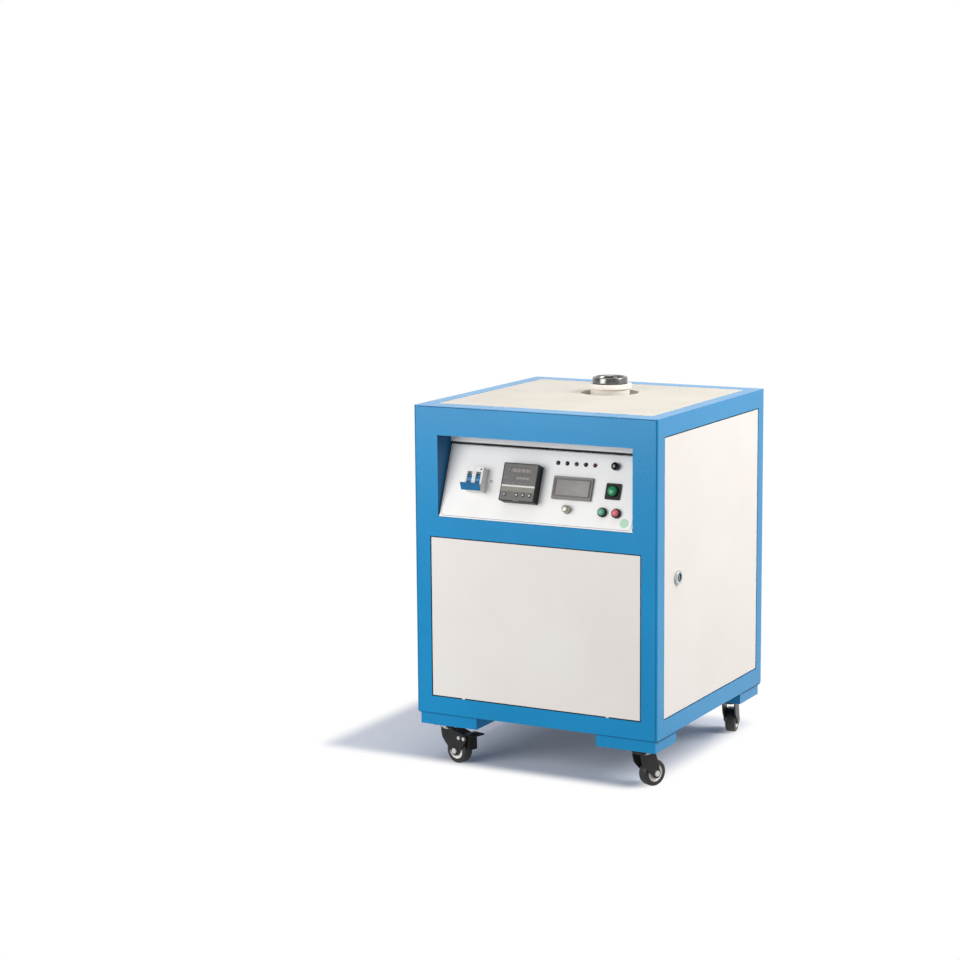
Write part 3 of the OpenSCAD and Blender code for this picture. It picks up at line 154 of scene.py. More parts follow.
# %% [markdown]
# ## Finishes
# A finish starts from the real material: what it is and how its surface was made. Colours are
# written as the sRGB hex values a paint chart gives, and one function turns them to the linear
# light that the renderer computes with. One more adds a node with its settings and links. Each
# finish then has three parts: patches of two close colours, a gloss that varies, and a relief.
# Their patterns are sized by real lengths, so a noise's scale is its repeats in one metre.

# %% Colour and node helpers
def lin(code):
    """Linear RGBA of an sRGB hex colour."""
    parts = [int(code[i : i + 2], 16) / 255 for i in (1, 3, 5)]
    return [c / 12.92 if c <= 0.04045 else ((c + 0.055) / 1.055) ** 2.4 for c in parts] + [1.0]


def repeats(size_mm):
    """Scale of a pattern whose features have a real size."""
    return 1000 / size_mm


def add(tree, kind, inputs=None, **settings):
    """Adds a node; an input is a plain value or the output socket of another node."""
    node = tree.nodes.new("ShaderNode" + kind)
    for key, value in settings.items():
        setattr(node, key, value)
    for key, value in (inputs or {}).items():
        if isinstance(value, bpy.types.NodeSocket):
            tree.links.new(value, node.inputs[key])
        else:
            node.inputs[key].default_value = value
    return node


def begin(name, low, high, patch_mm, detail=3.0, **sockets):
    """A new material whose colour varies between two hex colours in patches of a real size."""
    material = bpy.data.materials.new(name)
    material.use_nodes = True
    tree = material.node_tree
    tree.nodes.clear()
    where = add(tree, "TexCoord").outputs["Object"]
    patches = {"Vector": where, "Scale": repeats(patch_mm), "Detail": detail}
    noise = add(tree, "TexNoise", patches)
    ramp = add(tree, "ValToRGB", {"Fac": noise.outputs["Fac"]})
    for stop, place, code in zip(ramp.color_ramp.elements, (0.3, 0.7), (low, high)):
        stop.position = place
        stop.color = lin(code)
    shader = add(tree, "BsdfPrincipled", {"Base Color": ramp.outputs["Color"], **sockets})
    add(tree, "OutputMaterial", {"Surface": shader.outputs["BSDF"]})
    return material, tree, shader, where


def skin(tree, shader, wear, duller, glossier, height, depth_mm, strength):
    """Lets one pattern vary the roughness and another raise the surface by a real depth."""
    gloss = {"Value": wear.outputs["Fac"], "To Min": glossier, "To Max": duller}
    span = add(tree, "MapRange", gloss)
    raised = {"Height": height, "Distance": depth_mm * MM, "Strength": strength}
    bump = add(tree, "Bump", raised)
    tree.links.new(span.outputs["Result"], shader.inputs["Roughness"])
    tree.links.new(bump.outputs["Normal"], shader.inputs["Normal"])


# %% [markdown]
# ### Powder coat
# The frame and the panels are powder-coated steel: a sprayed plastic powder melted into a tough
# skin with a faint orange peel. Real peel is about a millimetre wide, too fine for this view, so
# it is drawn three times as coarse. The gloss wanders a little where hands have wiped it.

# %% Powder coats
def powder_coat(name, low, high, rough, sheen, peel_mm=3.0):
    """A coat with wiped patches of gloss and an orange peel."""
    sockets = {"IOR": 1.5, "Specular IOR Level": sheen}
    material, tree, shader, where = begin(name, low, high, 160, **sockets)
    wipe = add(tree, "TexNoise", {"Vector": where, "Scale": repeats(70), "Detail": 4})
    peel = add(tree, "TexNoise", {"Vector": where, "Scale": repeats(peel_mm), "Detail": 2})
    skin(tree, shader, wipe, rough + 0.04, rough - 0.03, peel.outputs["Fac"], 0.05, 0.14)
    return material


blue_coat = powder_coat("blue_powder_coat", "#0689C2", "#0A91CC", 0.26, 0.45)
recess_painted_shade_blue = powder_coat("blue_coat_with_painted_recess_shade", "#055C8C", "#076494", 0.4, 0.3)
seam_and_shadow_blue = powder_coat("blue_coat_of_seams_and_painted_shadow", "#07557F", "#0A5F8C", 0.5, 0.2)
white_coat = powder_coat("white_powder_coat", "#EDE7E1", "#F1ECE7", 0.42, 0.3)

# %% [markdown]
# ### Printed film
# The control panel wears a printed polyester film on its sheet: flat, matt and a little cooler
# than the paint round it. Its embossed surface is a very fine grain.

# %% Panel film and its ink
def plain_plastic(name, low, high, rough, grain_mm=0.8, depth=0.02, patch_mm=30, **sockets):
    """A plastic, film or ink with a fine even grain."""
    material, tree, shader, where = begin(name, low, high, patch_mm, IOR=1.49, **sockets)
    grain = add(tree, "TexNoise", {"Vector": where, "Scale": repeats(grain_mm), "Detail": 2})
    skin(tree, shader, grain, rough + 0.05, rough - 0.04, grain.outputs["Fac"], depth, 0.4)
    return material


panel_film = plain_plastic("printed_polyester_film", "#FBF9F6", "#FDFBF8", 0.5)
grey_ink = plain_plastic("screen_print_ink_grey", "#8F949A", "#9AA0A6", 0.6)
faint_ink = plain_plastic("faint_print", "#9A9691", "#A6A29D", 0.5)
olive_ink = plain_plastic("olive_grey_print", "#827F72", "#8D8A7D", 0.5)
light_ink = plain_plastic("light_grey_print", "#D9D8CF", "#E4E3DC", 0.5)
pale_green_film = plain_plastic("pale_green_vinyl_dot", "#B2DCBC", "#BEE4C7", 0.45)

# %% [markdown]
# ### Moulded plastics
# Controls are injection-moulded: ABS for cases and bezels, nylon for levers and polycarbonate for
# lenses. A mould's spark-eroded grain is under a tenth of a millimetre, so it only dulls the
# gloss; a light bump stands for it. Windows and lenses stay smooth. The lamp behind the green
# lens is off, and the lens has a very faint painted glow of its own.

# %% Plastics of the controls
black_abs = plain_plastic(
    "black_abs", "#111111", "#181819", 0.42, **{"Specular IOR Level": 0.22}
)
black_gloss = plain_plastic("black_polished_phenolic", "#0B0B0C", "#121213", 0.16, depth=0.004)
grey_abs = plain_plastic("grey_abs_face", "#65625F", "#6C6A66", 0.5)
key_finish = plain_plastic("dark_key_cap", "#33312F", "#3D3A38", 0.35)
key_white = plain_plastic("white_key_mark", "#ECECE6", "#F4F4F0", 0.45)
window_grey = plain_plastic("smoked_acrylic_window", "#675F5C", "#6F6764", 0.3, depth=0.002)
digit_glow = plain_plastic("unlit_segments", "#7B726D", "#857C77", 0.3)
meter_grey = plain_plastic("meter_bezel_grey", "#716E6B", "#7C7975", 0.38)
frame_shade = plain_plastic("meter_frame_dark", "#4B4947", "#555250", 0.35)
display_dark = plain_plastic("unlit_display", "#5E5653", "#686060", 0.2, depth=0.002)
tinted = plain_plastic(
    "taupe_tinted_window", "#645C5A", "#837B79", 0.22, depth=0.002, patch_mm=60
)
breaker_white = plain_plastic("breaker_thermoset_white", "#E9E8E2", "#EFEEE9", 0.4)
beige_painted_shade_and_seam = plain_plastic("breaker_beige_painted_shade_and_seam", "#A8A38E", "#B3AE9A", 0.5)
toggle_blue = plain_plastic("blue_nylon_toggle", "#176A9F", "#2279AE", 0.38)
# The caps' pale colours are partly their own and partly painted sheen of the white room.
green_cap_painted_sheen = plain_plastic("green_button_cap_painted_sheen", "#5DAA8A", "#6AB797", 0.3, depth=0.004)
red_cap_painted_sheen = plain_plastic("red_button_cap_painted_sheen", "#D8626A", "#E07077", 0.3, depth=0.004)
green_lamp = plain_plastic("dark_green_lamp_lens", "#0A120E", "#101A14", 0.1, depth=0.002)
red_lamp = plain_plastic("dark_red_lamp_lens", "#4E1216", "#641C20", 0.1, depth=0.002)
# The green lens's faint emission is a painted glow; its lamp is off.
green_lens_painted_glow = plain_plastic(
    "green_polycarbonate_lens_painted_glow",
    "#047A4A",
    "#098C56",
    0.12,
    depth=0.004,
    **{"Emission Color": lin("#0A9A5C"), "Emission Strength": 0.05},
)

# %% [markdown]
# ### Rubber, foam and the plastics inside
# Rubber and foam are nearly matt and have a coarser grain than a moulding. The tread is a grey
# polyurethane with a little sheen, and its hub a pale nylon. The parts inside the cabinet are
# bought ones: green solder resist, black epoxy, grey cases and yellow polyester tape.

# %% Rubber, foam, tape and boards
# This black foam also serves as painted shade in the gaps round the panels.
foam_and_gap_shade = plain_plastic(
    "black_foam_and_painted_gap_shade", "#0D0D0E", "#161617", 0.85, grain_mm=1.2, depth=0.1
)
hose_rubber = plain_plastic(
    "black_epdm_hose", "#151516", "#1E1E1F", 0.55, grain_mm=2.5, depth=0.08
)
tread_rubber = plain_plastic(
    "grey_black_polyurethane_tread", "#2A2A28", "#383835", 0.4, grain_mm=2.0, depth=0.05
)
hub_white = plain_plastic("pale_nylon_hub_ring", "#F4F3EF", "#FAF9F6", 0.35)
board_green = plain_plastic("green_solder_resist", "#0F4A2C", "#176038", 0.3)
tape = plain_plastic("yellow_polyester_tape", "#C79A2B", "#D3A838", 0.3)
case_grey = plain_plastic("grey_capacitor_case", "#6C737A", "#777E85", 0.4)
epoxy = plain_plastic("black_epoxy_module", "#17181A", "#202124", 0.35)
connector = plain_plastic("green_screw_terminals", "#2E8B57", "#38996A", 0.4)
fibre_post = plain_plastic("tan_fibre_post", "#B79464", "#C3A072", 0.6)

# %% [markdown]
# ### Metals
# Zinc plating is bluish grey with a soft sheen and small cloudy patches; the axle nuts are painted
# paler and less metallic than it, a painted highlight. The casters' forks are stamped from sheet
# steel and dipped in black paint. Copper tube stays warm and slightly tarnished from the heat near
# the crucible. A metal has no colour under its reflections, so its base colour is the colour of
# what it mirrors. Where paint, varnish or soot covers one, it is less than fully metallic.

# %% Metal finishes
def metal(name, low, high, rough, patch_mm=12, grain_mm=1.5, stretch=(1, 1, 1), metallic=1.0):
    """A metal whose grain can be stretched the way it was drawn or extruded."""
    material, tree, shader, where = begin(name, low, high, patch_mm, Metallic=metallic)
    place = add(tree, "Mapping", {"Vector": where, "Scale": stretch}).outputs[0]
    grain = add(tree, "TexNoise", {"Vector": place, "Scale": repeats(grain_mm), "Detail": 3})
    skin(tree, shader, grain, rough + 0.09, rough - 0.07, grain.outputs["Fac"], 0.02, 0.4)
    return material


zinc_plate = metal("zinc_plated_steel", "#A9AEB2", "#C6CACC", 0.34)
# The axle nuts' pale, half-metallic zinc is a painted highlight.
axle_zinc_painted_highlight = metal("axle_nut_zinc_painted_highlight", "#E2E2DF", "#EFEFEC", 0.4, metallic=0.5)
zinc_sheet = metal("galvanised_sheet", "#A2A8AC", "#BFC4C7", 0.4, patch_mm=25)
chrome_plate = metal("nickel_plated_brass", "#BFC6C8", "#D8DDDE", 0.18)
copper_tube = metal("tarnished_copper_tube", "#9C5A3C", "#C97F5A", 0.3, patch_mm=20)
copper_bar = metal("bright_copper_bar", "#B8704A", "#D08A62", 0.26)
mill_aluminium = metal("extruded_aluminium", "#B4B7BA", "#C8CACC", 0.36, stretch=(6, 0.4, 6))
black_dip = metal("black_dipped_steel", "#1B1B1C", "#262627", 0.4, metallic=0.0)
varnished_core = metal(
    "varnished_core_steel", "#2A2B2E", "#3A3B3F", 0.45, stretch=(1, 12, 1), metallic=0.4
)
knob_grey = metal(
    "satin_metallised_knob", "#9A998D", "#ACAB9F", 0.3, patch_mm=6, metallic=0.7
)
lock_teal = metal("dark_chromated_recess", "#2C4B57", "#3A6070", 0.35)

# %% [markdown]
# ### Ceramics and graphite
# The top board is pressed from calcium silicate fibres: chalky, cream and completely matt, with
# short fibres and pinholes. The sleeve is denser fired ceramic. The crucible is turned from fine
# graphite, and handling has polished its rim to a dark metallic shine.

# %% Refractory finishes
def chalky(name, low, high, rough, fibre_mm, depth):
    """A fired or pressed ceramic with fibres that lie one way, and pinholes between them."""
    material, tree, shader, where = begin(name, low, high, 60, detail=6, IOR=1.45)
    place = add(tree, "Mapping", {"Vector": where, "Scale": (1, 0.25, 1)}).outputs[0]
    fibre = add(tree, "TexNoise", {"Vector": place, "Scale": repeats(fibre_mm), "Detail": 5})
    pits = add(tree, "TexVoronoi", {"Vector": where, "Scale": repeats(fibre_mm * 2.4)})
    edge = {"Value": pits.outputs["Distance"], "From Min": 0.04, "From Max": 0.2}
    pinhole = add(tree, "MapRange", edge)
    factors = {0: fibre.outputs["Fac"], 1: pinhole.outputs["Result"]}
    both = add(tree, "Math", factors, operation="MULTIPLY")
    skin(tree, shader, fibre, rough + 0.04, rough - 0.05, both.outputs[0], depth, 0.5)
    return material


fibre_board = chalky("calcium_silicate_board", "#D9D2C7", "#DFD9CE", 0.9, 3.0, 0.2)
fired_ceramic = chalky("fired_alumina_sleeve", "#F8F0E5", "#FBF5EC", 0.62, 2.0, 0.06)
block_ceramic = chalky("insulating_fire_brick", "#DDD2BC", "#E8DEC9", 0.92, 3.0, 0.35)
graphite = metal("polished_graphite", "#6C6B69", "#8A8986", 0.22, patch_mm=9, grain_mm=1.2)
graphite_bore = metal("sooty_graphite_bore", "#0C0C0C", "#151514", 0.8, metallic=0.0)
print("finishes:", len(bpy.data.materials))

# %% [markdown]
# ## Modelling helpers
# New pieces are made as by hand: a primitive, then edit-mode operators. Operators act on all that
# is selected, so everything is deselected first. The piece is built at the world's origin and
# carried to its place by a matrix, which is then applied, so that its object ends at the origin.
# A piece rides on the body of the CAD node that it belongs to.

# %% Selecting and settling
SHARP = math.radians(35)


def deselect():
    """Leaves edit mode and clears the selection."""
    if bpy.context.object and bpy.context.object.mode != "OBJECT":
        bpy.ops.object.mode_set(mode="OBJECT")
    bpy.ops.object.select_all(action="DESELECT")


def choose(piece):
    """Makes one object the only selected and the active one."""
    deselect()
    piece.select_set(True)
    bpy.context.view_layer.objects.active = piece


def pick(kind, test):
    """In edit mode, selects the edges or faces whose centre and direction pass a test."""
    bpy.ops.mesh.select_all(action="DESELECT")
    bpy.ops.mesh.select_mode(type=kind)
    mesh = bmesh.from_edit_mesh(bpy.context.object.data)
    for item in mesh.edges if kind == "EDGE" else mesh.faces:
        if kind == "EDGE":
            a, b = (v.co for v in item.verts)
            item.select_set(test((a + b) / 2, (b - a).normalized()))
        else:
            item.select_set(test(item.calc_center_median(), item.normal))
    bmesh.update_edit_mesh(bpy.context.object.data)


def apply_modifier(piece, kind, **settings):
    """Adds a modifier with its settings and applies it at once."""
    choose(piece)
    step = piece.modifiers.new("step", kind)
    for key, value in settings.items():
        setattr(step, key, value)
    bpy.ops.object.modifier_apply(modifier=step.name)


def smooth(piece):
    """Shades round faces smoothly and keeps the sharp edges."""
    choose(piece)
    bpy.ops.object.shade_smooth_by_angle(angle=SHARP)
    return piece


def slot_of(node):
    """The record's material slot of a CAD node."""
    return next(s["material_slot"] for s in frame["record"]["subparts"] if s["node"] == node)


def settle(piece, name, finish, node, slot=None, place=None):
    """Carries a piece to its place and gives it its name, finish and body; its slot is not used."""
    body = frame["nodes"][node]["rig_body"]
    slot = slot or slot_of(node)
    if place is not None:
        piece.matrix_world = place @ piece.matrix_world
    choose(piece)
    bpy.ops.object.transform_apply(location=True, rotation=True, scale=True)
    piece.name = name
    piece.data.name = name
    piece.data.materials.clear()
    piece.data.materials.append(finish)
    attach(piece, body)
    return piece


def copies(piece, places):
    """Copies of a piece, each with its own mesh, at a list of matrices; the piece is the first."""
    result = [piece]
    for _ in places[1:]:
        choose(piece)
        bpy.ops.object.duplicate()
        result.append(bpy.context.object)
    for each, place in zip(result, places):
        each.matrix_world = place @ each.matrix_world
    return result


def settle_row(model, places, name, finish, node, slot=None):
    """Settles numbered copies of one piece at a list of matrices."""
    row = copies(model, places)
    for number, piece in enumerate(row, start=1):
        settle(piece, f"{name}_{number}", finish, node, slot)
    return row


# %% [markdown]
# A CAD solid that has the right shape lacks only the small radius of its edges. Its mesh is loose
# triangles, so a copy is merged and its flat faces are joined before a bevel rounds what is
# sharp. Weighted normals then keep the large faces flat in the light. The copy stands for the
# node. Where one solid has two finishes, faces are chosen by place and given the second one.

# %% Softening and painting
WELD = 2e-6
COPLANAR = math.radians(0.6)


def softened(node, finish, radius_mm, segments=2):
    """Replaces a CAD node by a copy whose sharp edges have the radius of the real part."""
    choose(frame["nodes"][node])
    bpy.ops.object.duplicate()
    piece = bpy.context.object
    bpy.ops.object.parent_clear(type="CLEAR_KEEP_TRANSFORM")
    for key in list(piece.keys()):
        del piece[key]
    bpy.ops.object.mode_set(mode="EDIT")
    bpy.ops.mesh.select_all(action="SELECT")
    bpy.ops.mesh.remove_doubles(threshold=WELD)
    bpy.ops.mesh.dissolve_limited(angle_limit=COPLANAR)
    bpy.ops.mesh.normals_make_consistent(inside=False)
    bpy.ops.object.mode_set(mode="OBJECT")
    apply_modifier(
        piece,
        "BEVEL",
        width=radius_mm * MM,
        segments=segments,
        limit_method="ANGLE",
        angle_limit=SHARP,
        use_clamp_overlap=True,
        loop_slide=False,
    )
    settle(piece, node + "_soft", finish, node)
    smooth(piece)
    apply_modifier(piece, "WEIGHTED_NORMAL", keep_sharp=True)
    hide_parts(node)
    return piece


def paint_faces(piece, finish, place, test):
    """Gives a second finish to the faces whose centre (mm) and direction pass a test."""
    piece.data.materials.append(finish)
    back = place.inverted()
    turn = back.to_3x3()
    count = 0
    for face in piece.data.polygons:
        if test(back @ face.center / MM, turn @ face.normal):
            face.material_index = len(piece.data.materials) - 1
            count += 1
    return count


def coat(finish, *nodes):
    """Gives CAD nodes, which keep their own shape, a finish."""
    for node in nodes:
        mesh = frame["nodes"][node].data
        mesh.materials.clear()
        mesh.materials.append(finish)


# %% [markdown]
# Turned pieces, such as caps and wheels, come from a lathe. Here half of the section is drawn by
# extruding one point along it, and spun once round. Blocks get their upright corners and their
# upper rim rounded by the bevel operator, as a mould maker would. A seal or a printed border is
# the rim of such a block: its two faces are deleted, and the wall that is left is given a width.

# %% Lathe and mould helpers
def turned(profile, steps=48, closed=False):
    """Spins a half section, a list of (radius, height) in millimetres, about the z axis."""
    deselect()
    bpy.ops.mesh.primitive_plane_add(size=0.001)
    bpy.ops.object.mode_set(mode="EDIT")
    bpy.ops.mesh.select_mode(type="VERT")
    bpy.ops.mesh.select_all(action="SELECT")
    bpy.ops.mesh.merge(type="CENTER")
    r, z = profile[0]
    bpy.ops.transform.translate(value=(r * MM, 0, z * MM))
    for r_next, z_next in profile[1:] + ([profile[0]] if closed else []):
        move = ((r_next - r) * MM, 0, (z_next - z) * MM)
        bpy.ops.mesh.extrude_region_move(TRANSFORM_OT_translate={"value": move})
        r, z = r_next, z_next
    bpy.ops.mesh.select_all(action="SELECT")
    bpy.ops.mesh.spin(steps=steps, angle=2 * math.pi, center=(0, 0, 0), axis=(0, 0, 1))
    bpy.ops.mesh.select_all(action="SELECT")
    bpy.ops.mesh.remove_doubles(threshold=WELD)
    bpy.ops.mesh.normals_make_consistent(inside=False)
    bpy.ops.object.mode_set(mode="OBJECT")
    return smooth(bpy.context.object)


def moulded(w, d, h, corner=0.0, rim=0.0, segments=4):
    """Block on z = 0, in millimetres, with rounded upright corners and a rounded upper rim."""
    deselect()
    bpy.ops.mesh.primitive_cube_add(size=1, location=(0, 0, h * MM / 2))
    piece = bpy.context.object
    piece.scale = (w * MM, d * MM, h * MM)
    bpy.ops.object.transform_apply(location=True, rotation=True, scale=True)
    bpy.ops.object.mode_set(mode="EDIT")
    if corner:
        pick("EDGE", lambda mid, way: abs(way.z) > 0.9)
        bpy.ops.mesh.bevel(offset=corner * MM, segments=segments, affect="EDGES")
    if rim:
        top = h * MM
        pick("EDGE", lambda mid, way: mid.z > top - 1e-7 and abs(way.z) < 0.1)
        bpy.ops.mesh.bevel(offset=rim * MM, segments=segments, affect="EDGES")
    bpy.ops.object.mode_set(mode="OBJECT")
    return smooth(piece)


def rim_of(size, width, corner, name, finish, node, slot, place):
    """The rim of a rounded plate with a given width, settled at a place."""
    piece = moulded(*size, corner=corner, segments=6)
    choose(piece)
    bpy.ops.object.mode_set(mode="EDIT")
    pick("FACE", lambda mid, way: abs(way.z) > 0.9)
    bpy.ops.mesh.delete(type="FACE")
    bpy.ops.object.mode_set(mode="OBJECT")
    apply_modifier(piece, "SOLIDIFY", thickness=width * MM, offset=-1)
    return settle(piece, name, finish, node, slot, place)


def joined(pieces):
    """Joins pieces of one finish into one object."""
    deselect()
    for each in pieces:
        each.select_set(True)
    bpy.context.view_layer.objects.active = pieces[0]
    bpy.ops.object.transform_apply(location=True, rotation=True, scale=True)
    bpy.ops.object.join()
    return bpy.context.object


# %% [markdown]
# ## Cabinet frame
# The frame is bent from sheet steel, welded and coated in one colour. The CAD solids have the
# rounded folds already; they keep their shape and only take the coat. The joints along the edges
# of the front's sheet are drawn as thin strips of a darker coat that stand barely proud of it. The
# same strips along the top of each foot are partly the joint and partly painted shadow under the
# rail's overhang. The recess behind the header is in shade, and its coat is painted darker and
# duller as painted shade.

# %% Frame members in blue
coat(blue_coat, "corner_posts", "front_header", "top_rails", "bottom_rails", "caster_feet")
# The recess's coat is painted darker and duller, as painted shade.
coat(recess_painted_shade_blue, "recess_liner")
coat(zinc_sheet, "bottom_pan", "furnace_shelf", "hinge_pins")
front_seams = {
    "top": (495, 1.1, 0, 586.6),
    "left": (1.1, 585, -247, 1),
    "right": (1.1, 585, 247, 1),
}
for name, (w, h, x, z) in front_seams.items():
    seam = moulded(w, 0.2, h)
    settle(seam, f"front_seam_{name}", seam_and_shadow_blue, "front_header", "blue_paint", at(x, 0, z))
# The strips above the feet are partly the joint and partly painted shadow under the rail.
foot_line = moulded(119, 0.3, 2.4)
side_line = moulded(0.3, 91, 2.4)
foot_places = [at(x, y, -2.5) for y in (4.9, 498.1) for x in (-189.5, 189.5)]
side_places = [at(x, y, -2.5) for x in (-249.6, 249.6) for y in (51, 452)]
foot_joint_shadow_strips = copies(foot_line, foot_places) + copies(side_line, side_places)
for number, piece in enumerate(foot_joint_shadow_strips, start=1):
    settle(piece, f"foot_joint_and_painted_shadow_{number}", seam_and_shadow_blue, "caster_feet", "blue_paint")
print("front seams:", len(front_seams), "foot seams:", len(foot_joint_shadow_strips))

# %% [markdown]
# ## Doors and front panel
# These are shallow trays folded from 1.2 mm sheet and coated white. Deburring and the coat leave
# about half a millimetre of radius on each edge, which catches a thin white highlight round each
# panel. A bevel on a copy of the CAD solid gives exactly that line. The faces at the outer rim are
# painted with black foam, partly foam glued round the edges and partly painted shade, so that each
# gap reads as a thin dark line.

# %% Folded white panels
RIM_DEPTH = 0.8
WORLD = Matrix.Identity(4)


def at_rim(node, axes):
    """Test for the outermost faces of a node across the given axes."""
    low, high = (Vector(corner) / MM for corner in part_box(node))
    return lambda c, n: any(
        abs(n[k]) > 0.9 and abs(c[k] - (high if n[k] > 0 else low)[k]) < RIM_DEPTH for k in axes
    )


# Rim faces take the black foam: partly foam, partly painted shade in the gaps.
for node, axes in (("left_door", (1, 2)), ("right_door", (1, 2)), ("front_panel", (0, 2))):
    tray = softened(node, white_coat, 0.5, 3)
    print(node, "edge faces:", paint_faces(tray, foam_and_gap_shade, WORLD, at_rim(node, axes)))
coat(white_coat, "back_panel")

# %% [markdown]
# A black foam seal also lies in the gap round each door and the front panel, a little below the
# surface; its black is partly the foam and partly painted shade in the gap. The back panel is held
# by eight pan-head screws, each with a round recess.

# %% Seals and the back panel's screws
# The seals are partly foam and partly painted shade in the gaps.
rim_of(
    (436, 309.2, 4), 2.0, 1, "front_panel_seal_and_gap_shade", foam_and_gap_shade, "corner_posts", "black_plastic",
    at(0, 4.9, 187.6) @ rotation(90, "X"),
)
for side, sign in SIDES.items():
    rim_of(
        (444.6, 520.6, 3), 1.6, 1, f"{side}_door_seal_and_gap_shade", foam_and_gap_shade, "corner_posts", "black_plastic",
        at(sign * 237.5, 252.5, 293.5) @ rotation(90 * sign, "Y") @ rotation(90, "Z"),
    )
pan_screw = turned(
    [(0, 1.2), (1.0, 1.2), (1.2, 2.15), (1.6, 2.1), (2.8, 1.7), (3.5, 0.8), (3.6, 0), (0, 0)],
    steps=24,
)
screw_places = [
    at(x, 502.5, z) @ rotation(-90, "X") for x in (-208, 208) for z in (44, 210, 377, 543)
]
settle_row(pan_screw, screw_places, "back_panel_screw", zinc_plate, "back_panel", "zinc")
print("seals:", 1 + len(SIDES), "screws:", len(screw_places))

# %% [markdown]
# ## Top board, sleeve and crucible
# The board is sawn, and its edges are broken with sandpaper. The sleeve and the crucible are
# turned, so their sections are spun here, with the fillets that a lathe tool leaves. The
# crucible's rim is smooth where tongs and the poured metal have rubbed it; its bore is sooty.

# %% Board and sleeve
MELT_AXIS = at(0, 328, 0)
softened("top_board", fibre_board, 1.0, 3)
sleeve = turned(
    [
        (0, 462), (37, 462), (38, 463), (38, 596.4), (38.6, 597), (41, 597), (42, 598),
        (42, 604.5), (41.4, 606), (40, 606.5), (34.4, 606.5), (33.2, 605.6), (33.2, 466), (0, 466),
    ],
    steps=96,
)
settle(sleeve, "fired_sleeve", fired_ceramic, "crucible_sleeve", "sleeve_ceramic", MELT_AXIS)
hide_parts("crucible_sleeve")
print("sleeve:", [round(v / MM, 1) for v in sleeve.dimensions])

# %% [markdown]
# The pouring notch is a round file's cut across the rim. A cylinder is subtracted for it, and a
# bevel breaks the edges that the cut leaves.

# %% Crucible
BORE_RADIUS, BORE_FLOOR = 26.3, 480
crucible = turned(
    [
        (0, 476.8), (29, 476.8), (31.4, 477.6), (32.5, 480), (32.5, 606), (33, 606.8),
        (33.2, 606.8), (34, 607.7), (34, 616.4), (33.2, 618.6), (31.2, 619.6), (29.4, 619.4),
        (27.4, 617.8), (26, 614.5), (26, 492), (24, 489.8), (0, 489.8),
    ],
    steps=96,
)
deselect()
bpy.ops.mesh.primitive_cylinder_add(
    vertices=48, radius=8 * MM, depth=34 * MM, rotation=(0, math.pi / 2, 0)
)
notch = bpy.context.object
notch.location = (-35 * MM, 0, 623.6 * MM)
apply_modifier(crucible, "BOOLEAN", operation="DIFFERENCE", object=notch, solver="EXACT")
choose(notch)
bpy.ops.object.delete()
broken_edge = {"limit_method": "ANGLE", "angle_limit": math.radians(40)}
apply_modifier(crucible, "BEVEL", width=0.8 * MM, segments=3, **broken_edge)
settle(crucible, "turned_crucible", graphite, "crucible", "graphite", MELT_AXIS)
smooth(crucible)
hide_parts("crucible")
sooty = paint_faces(
    crucible,
    graphite_bore,
    MELT_AXIS,
    lambda c, n: math.hypot(c.x, c.y) < BORE_RADIUS and c.z > BORE_FLOOR,
)
print("sooty faces of the bore:", sooty)

# %% [markdown]
# ## Control panel
# The film on the sloped sheet carries a thin printed frame with rounded corners. Ink has almost
# no thickness, so the line is a band 0.8 mm wide and a tenth of a millimetre high. A plain round
# dot of vinyl sticks at the lower right. The sheet's top is folded upright behind the header. Dark
# strips lie in the gaps along its top and its two ends, partly seal and partly painted shadow of
# the header and the recess's sides.

# %% Panel and its printed frame
coat(panel_film, "control_panel")
border = rim_of(
    (393, 138, 0.1), 0.8, 8, "printed_frame", grey_ink, "control_panel", "panel_paint",
    on_panel(0, 72.2),
)
dot = turned([(0, 0), (8.6, 0), (8.6, 0.12), (8.4, 0.16), (0, 0.16)])
dot_place = on_panel(180.6, 16.5)
settle(dot, "vinyl_dot", pale_green_film, "control_panel", "panel_paint", dot_place)
fold = moulded(400, 1.0, 11.5, rim=0.3)
fold_place = at(0, 53.3, 516.6)
settle(fold, "panel_top_fold", panel_film, "recess_liner", "panel_paint", fold_place)
# The dark strips at the top and the ends are partly seal and partly painted shadow.
top_gap = moulded(400, 2.2, 0.2)
gap_place = on_panel(0, 142.8)
settle(top_gap, "panel_top_seal_and_painted_shadow", foam_and_gap_shade, "control_panel", "panel_paint", gap_place)
edge_gap = moulded(1.5, 138, 0.2)
edge_places = [on_panel(x, 73) for x in (-199.2, 199.2)]
settle_row(edge_gap, edge_places, "panel_edge_seal_and_painted_shadow", foam_and_gap_shade, "control_panel", "panel_paint")
print("printed frame:", [round(v / MM, 1) for v in border.dimensions])

# %% [markdown]
# ## Circuit breaker
# A modular two-pole breaker sits behind a cut-out, with only its nose through the film. The
# thermoset body is off-white; its right side is a darker beige, partly the moulding's own colour
# and partly painted shade, and the same beige draws the seam between the poles. The nylon handle
# bar joins two levers; dark recesses on it show where each lever clips in.

# %% Breaker and its handle
BREAKER = on_panel(-129, MIDDLE_ROW)
POLES = (-9, 9)
NOSE, DRUM_AXIS, DRUM_TURN = 21, 9, -33
breaker = softened("breaker_body", breaker_white, 0.4)
# The right side's darker beige is partly the moulding's colour and partly painted shade.
paint_faces(breaker, beige_painted_shade_and_seam, BREAKER, lambda c, n: n.x > 0.9 and c.x > 17 and c.z > -3)
softened("breaker_toggle", toggle_blue, 0.5, 3)


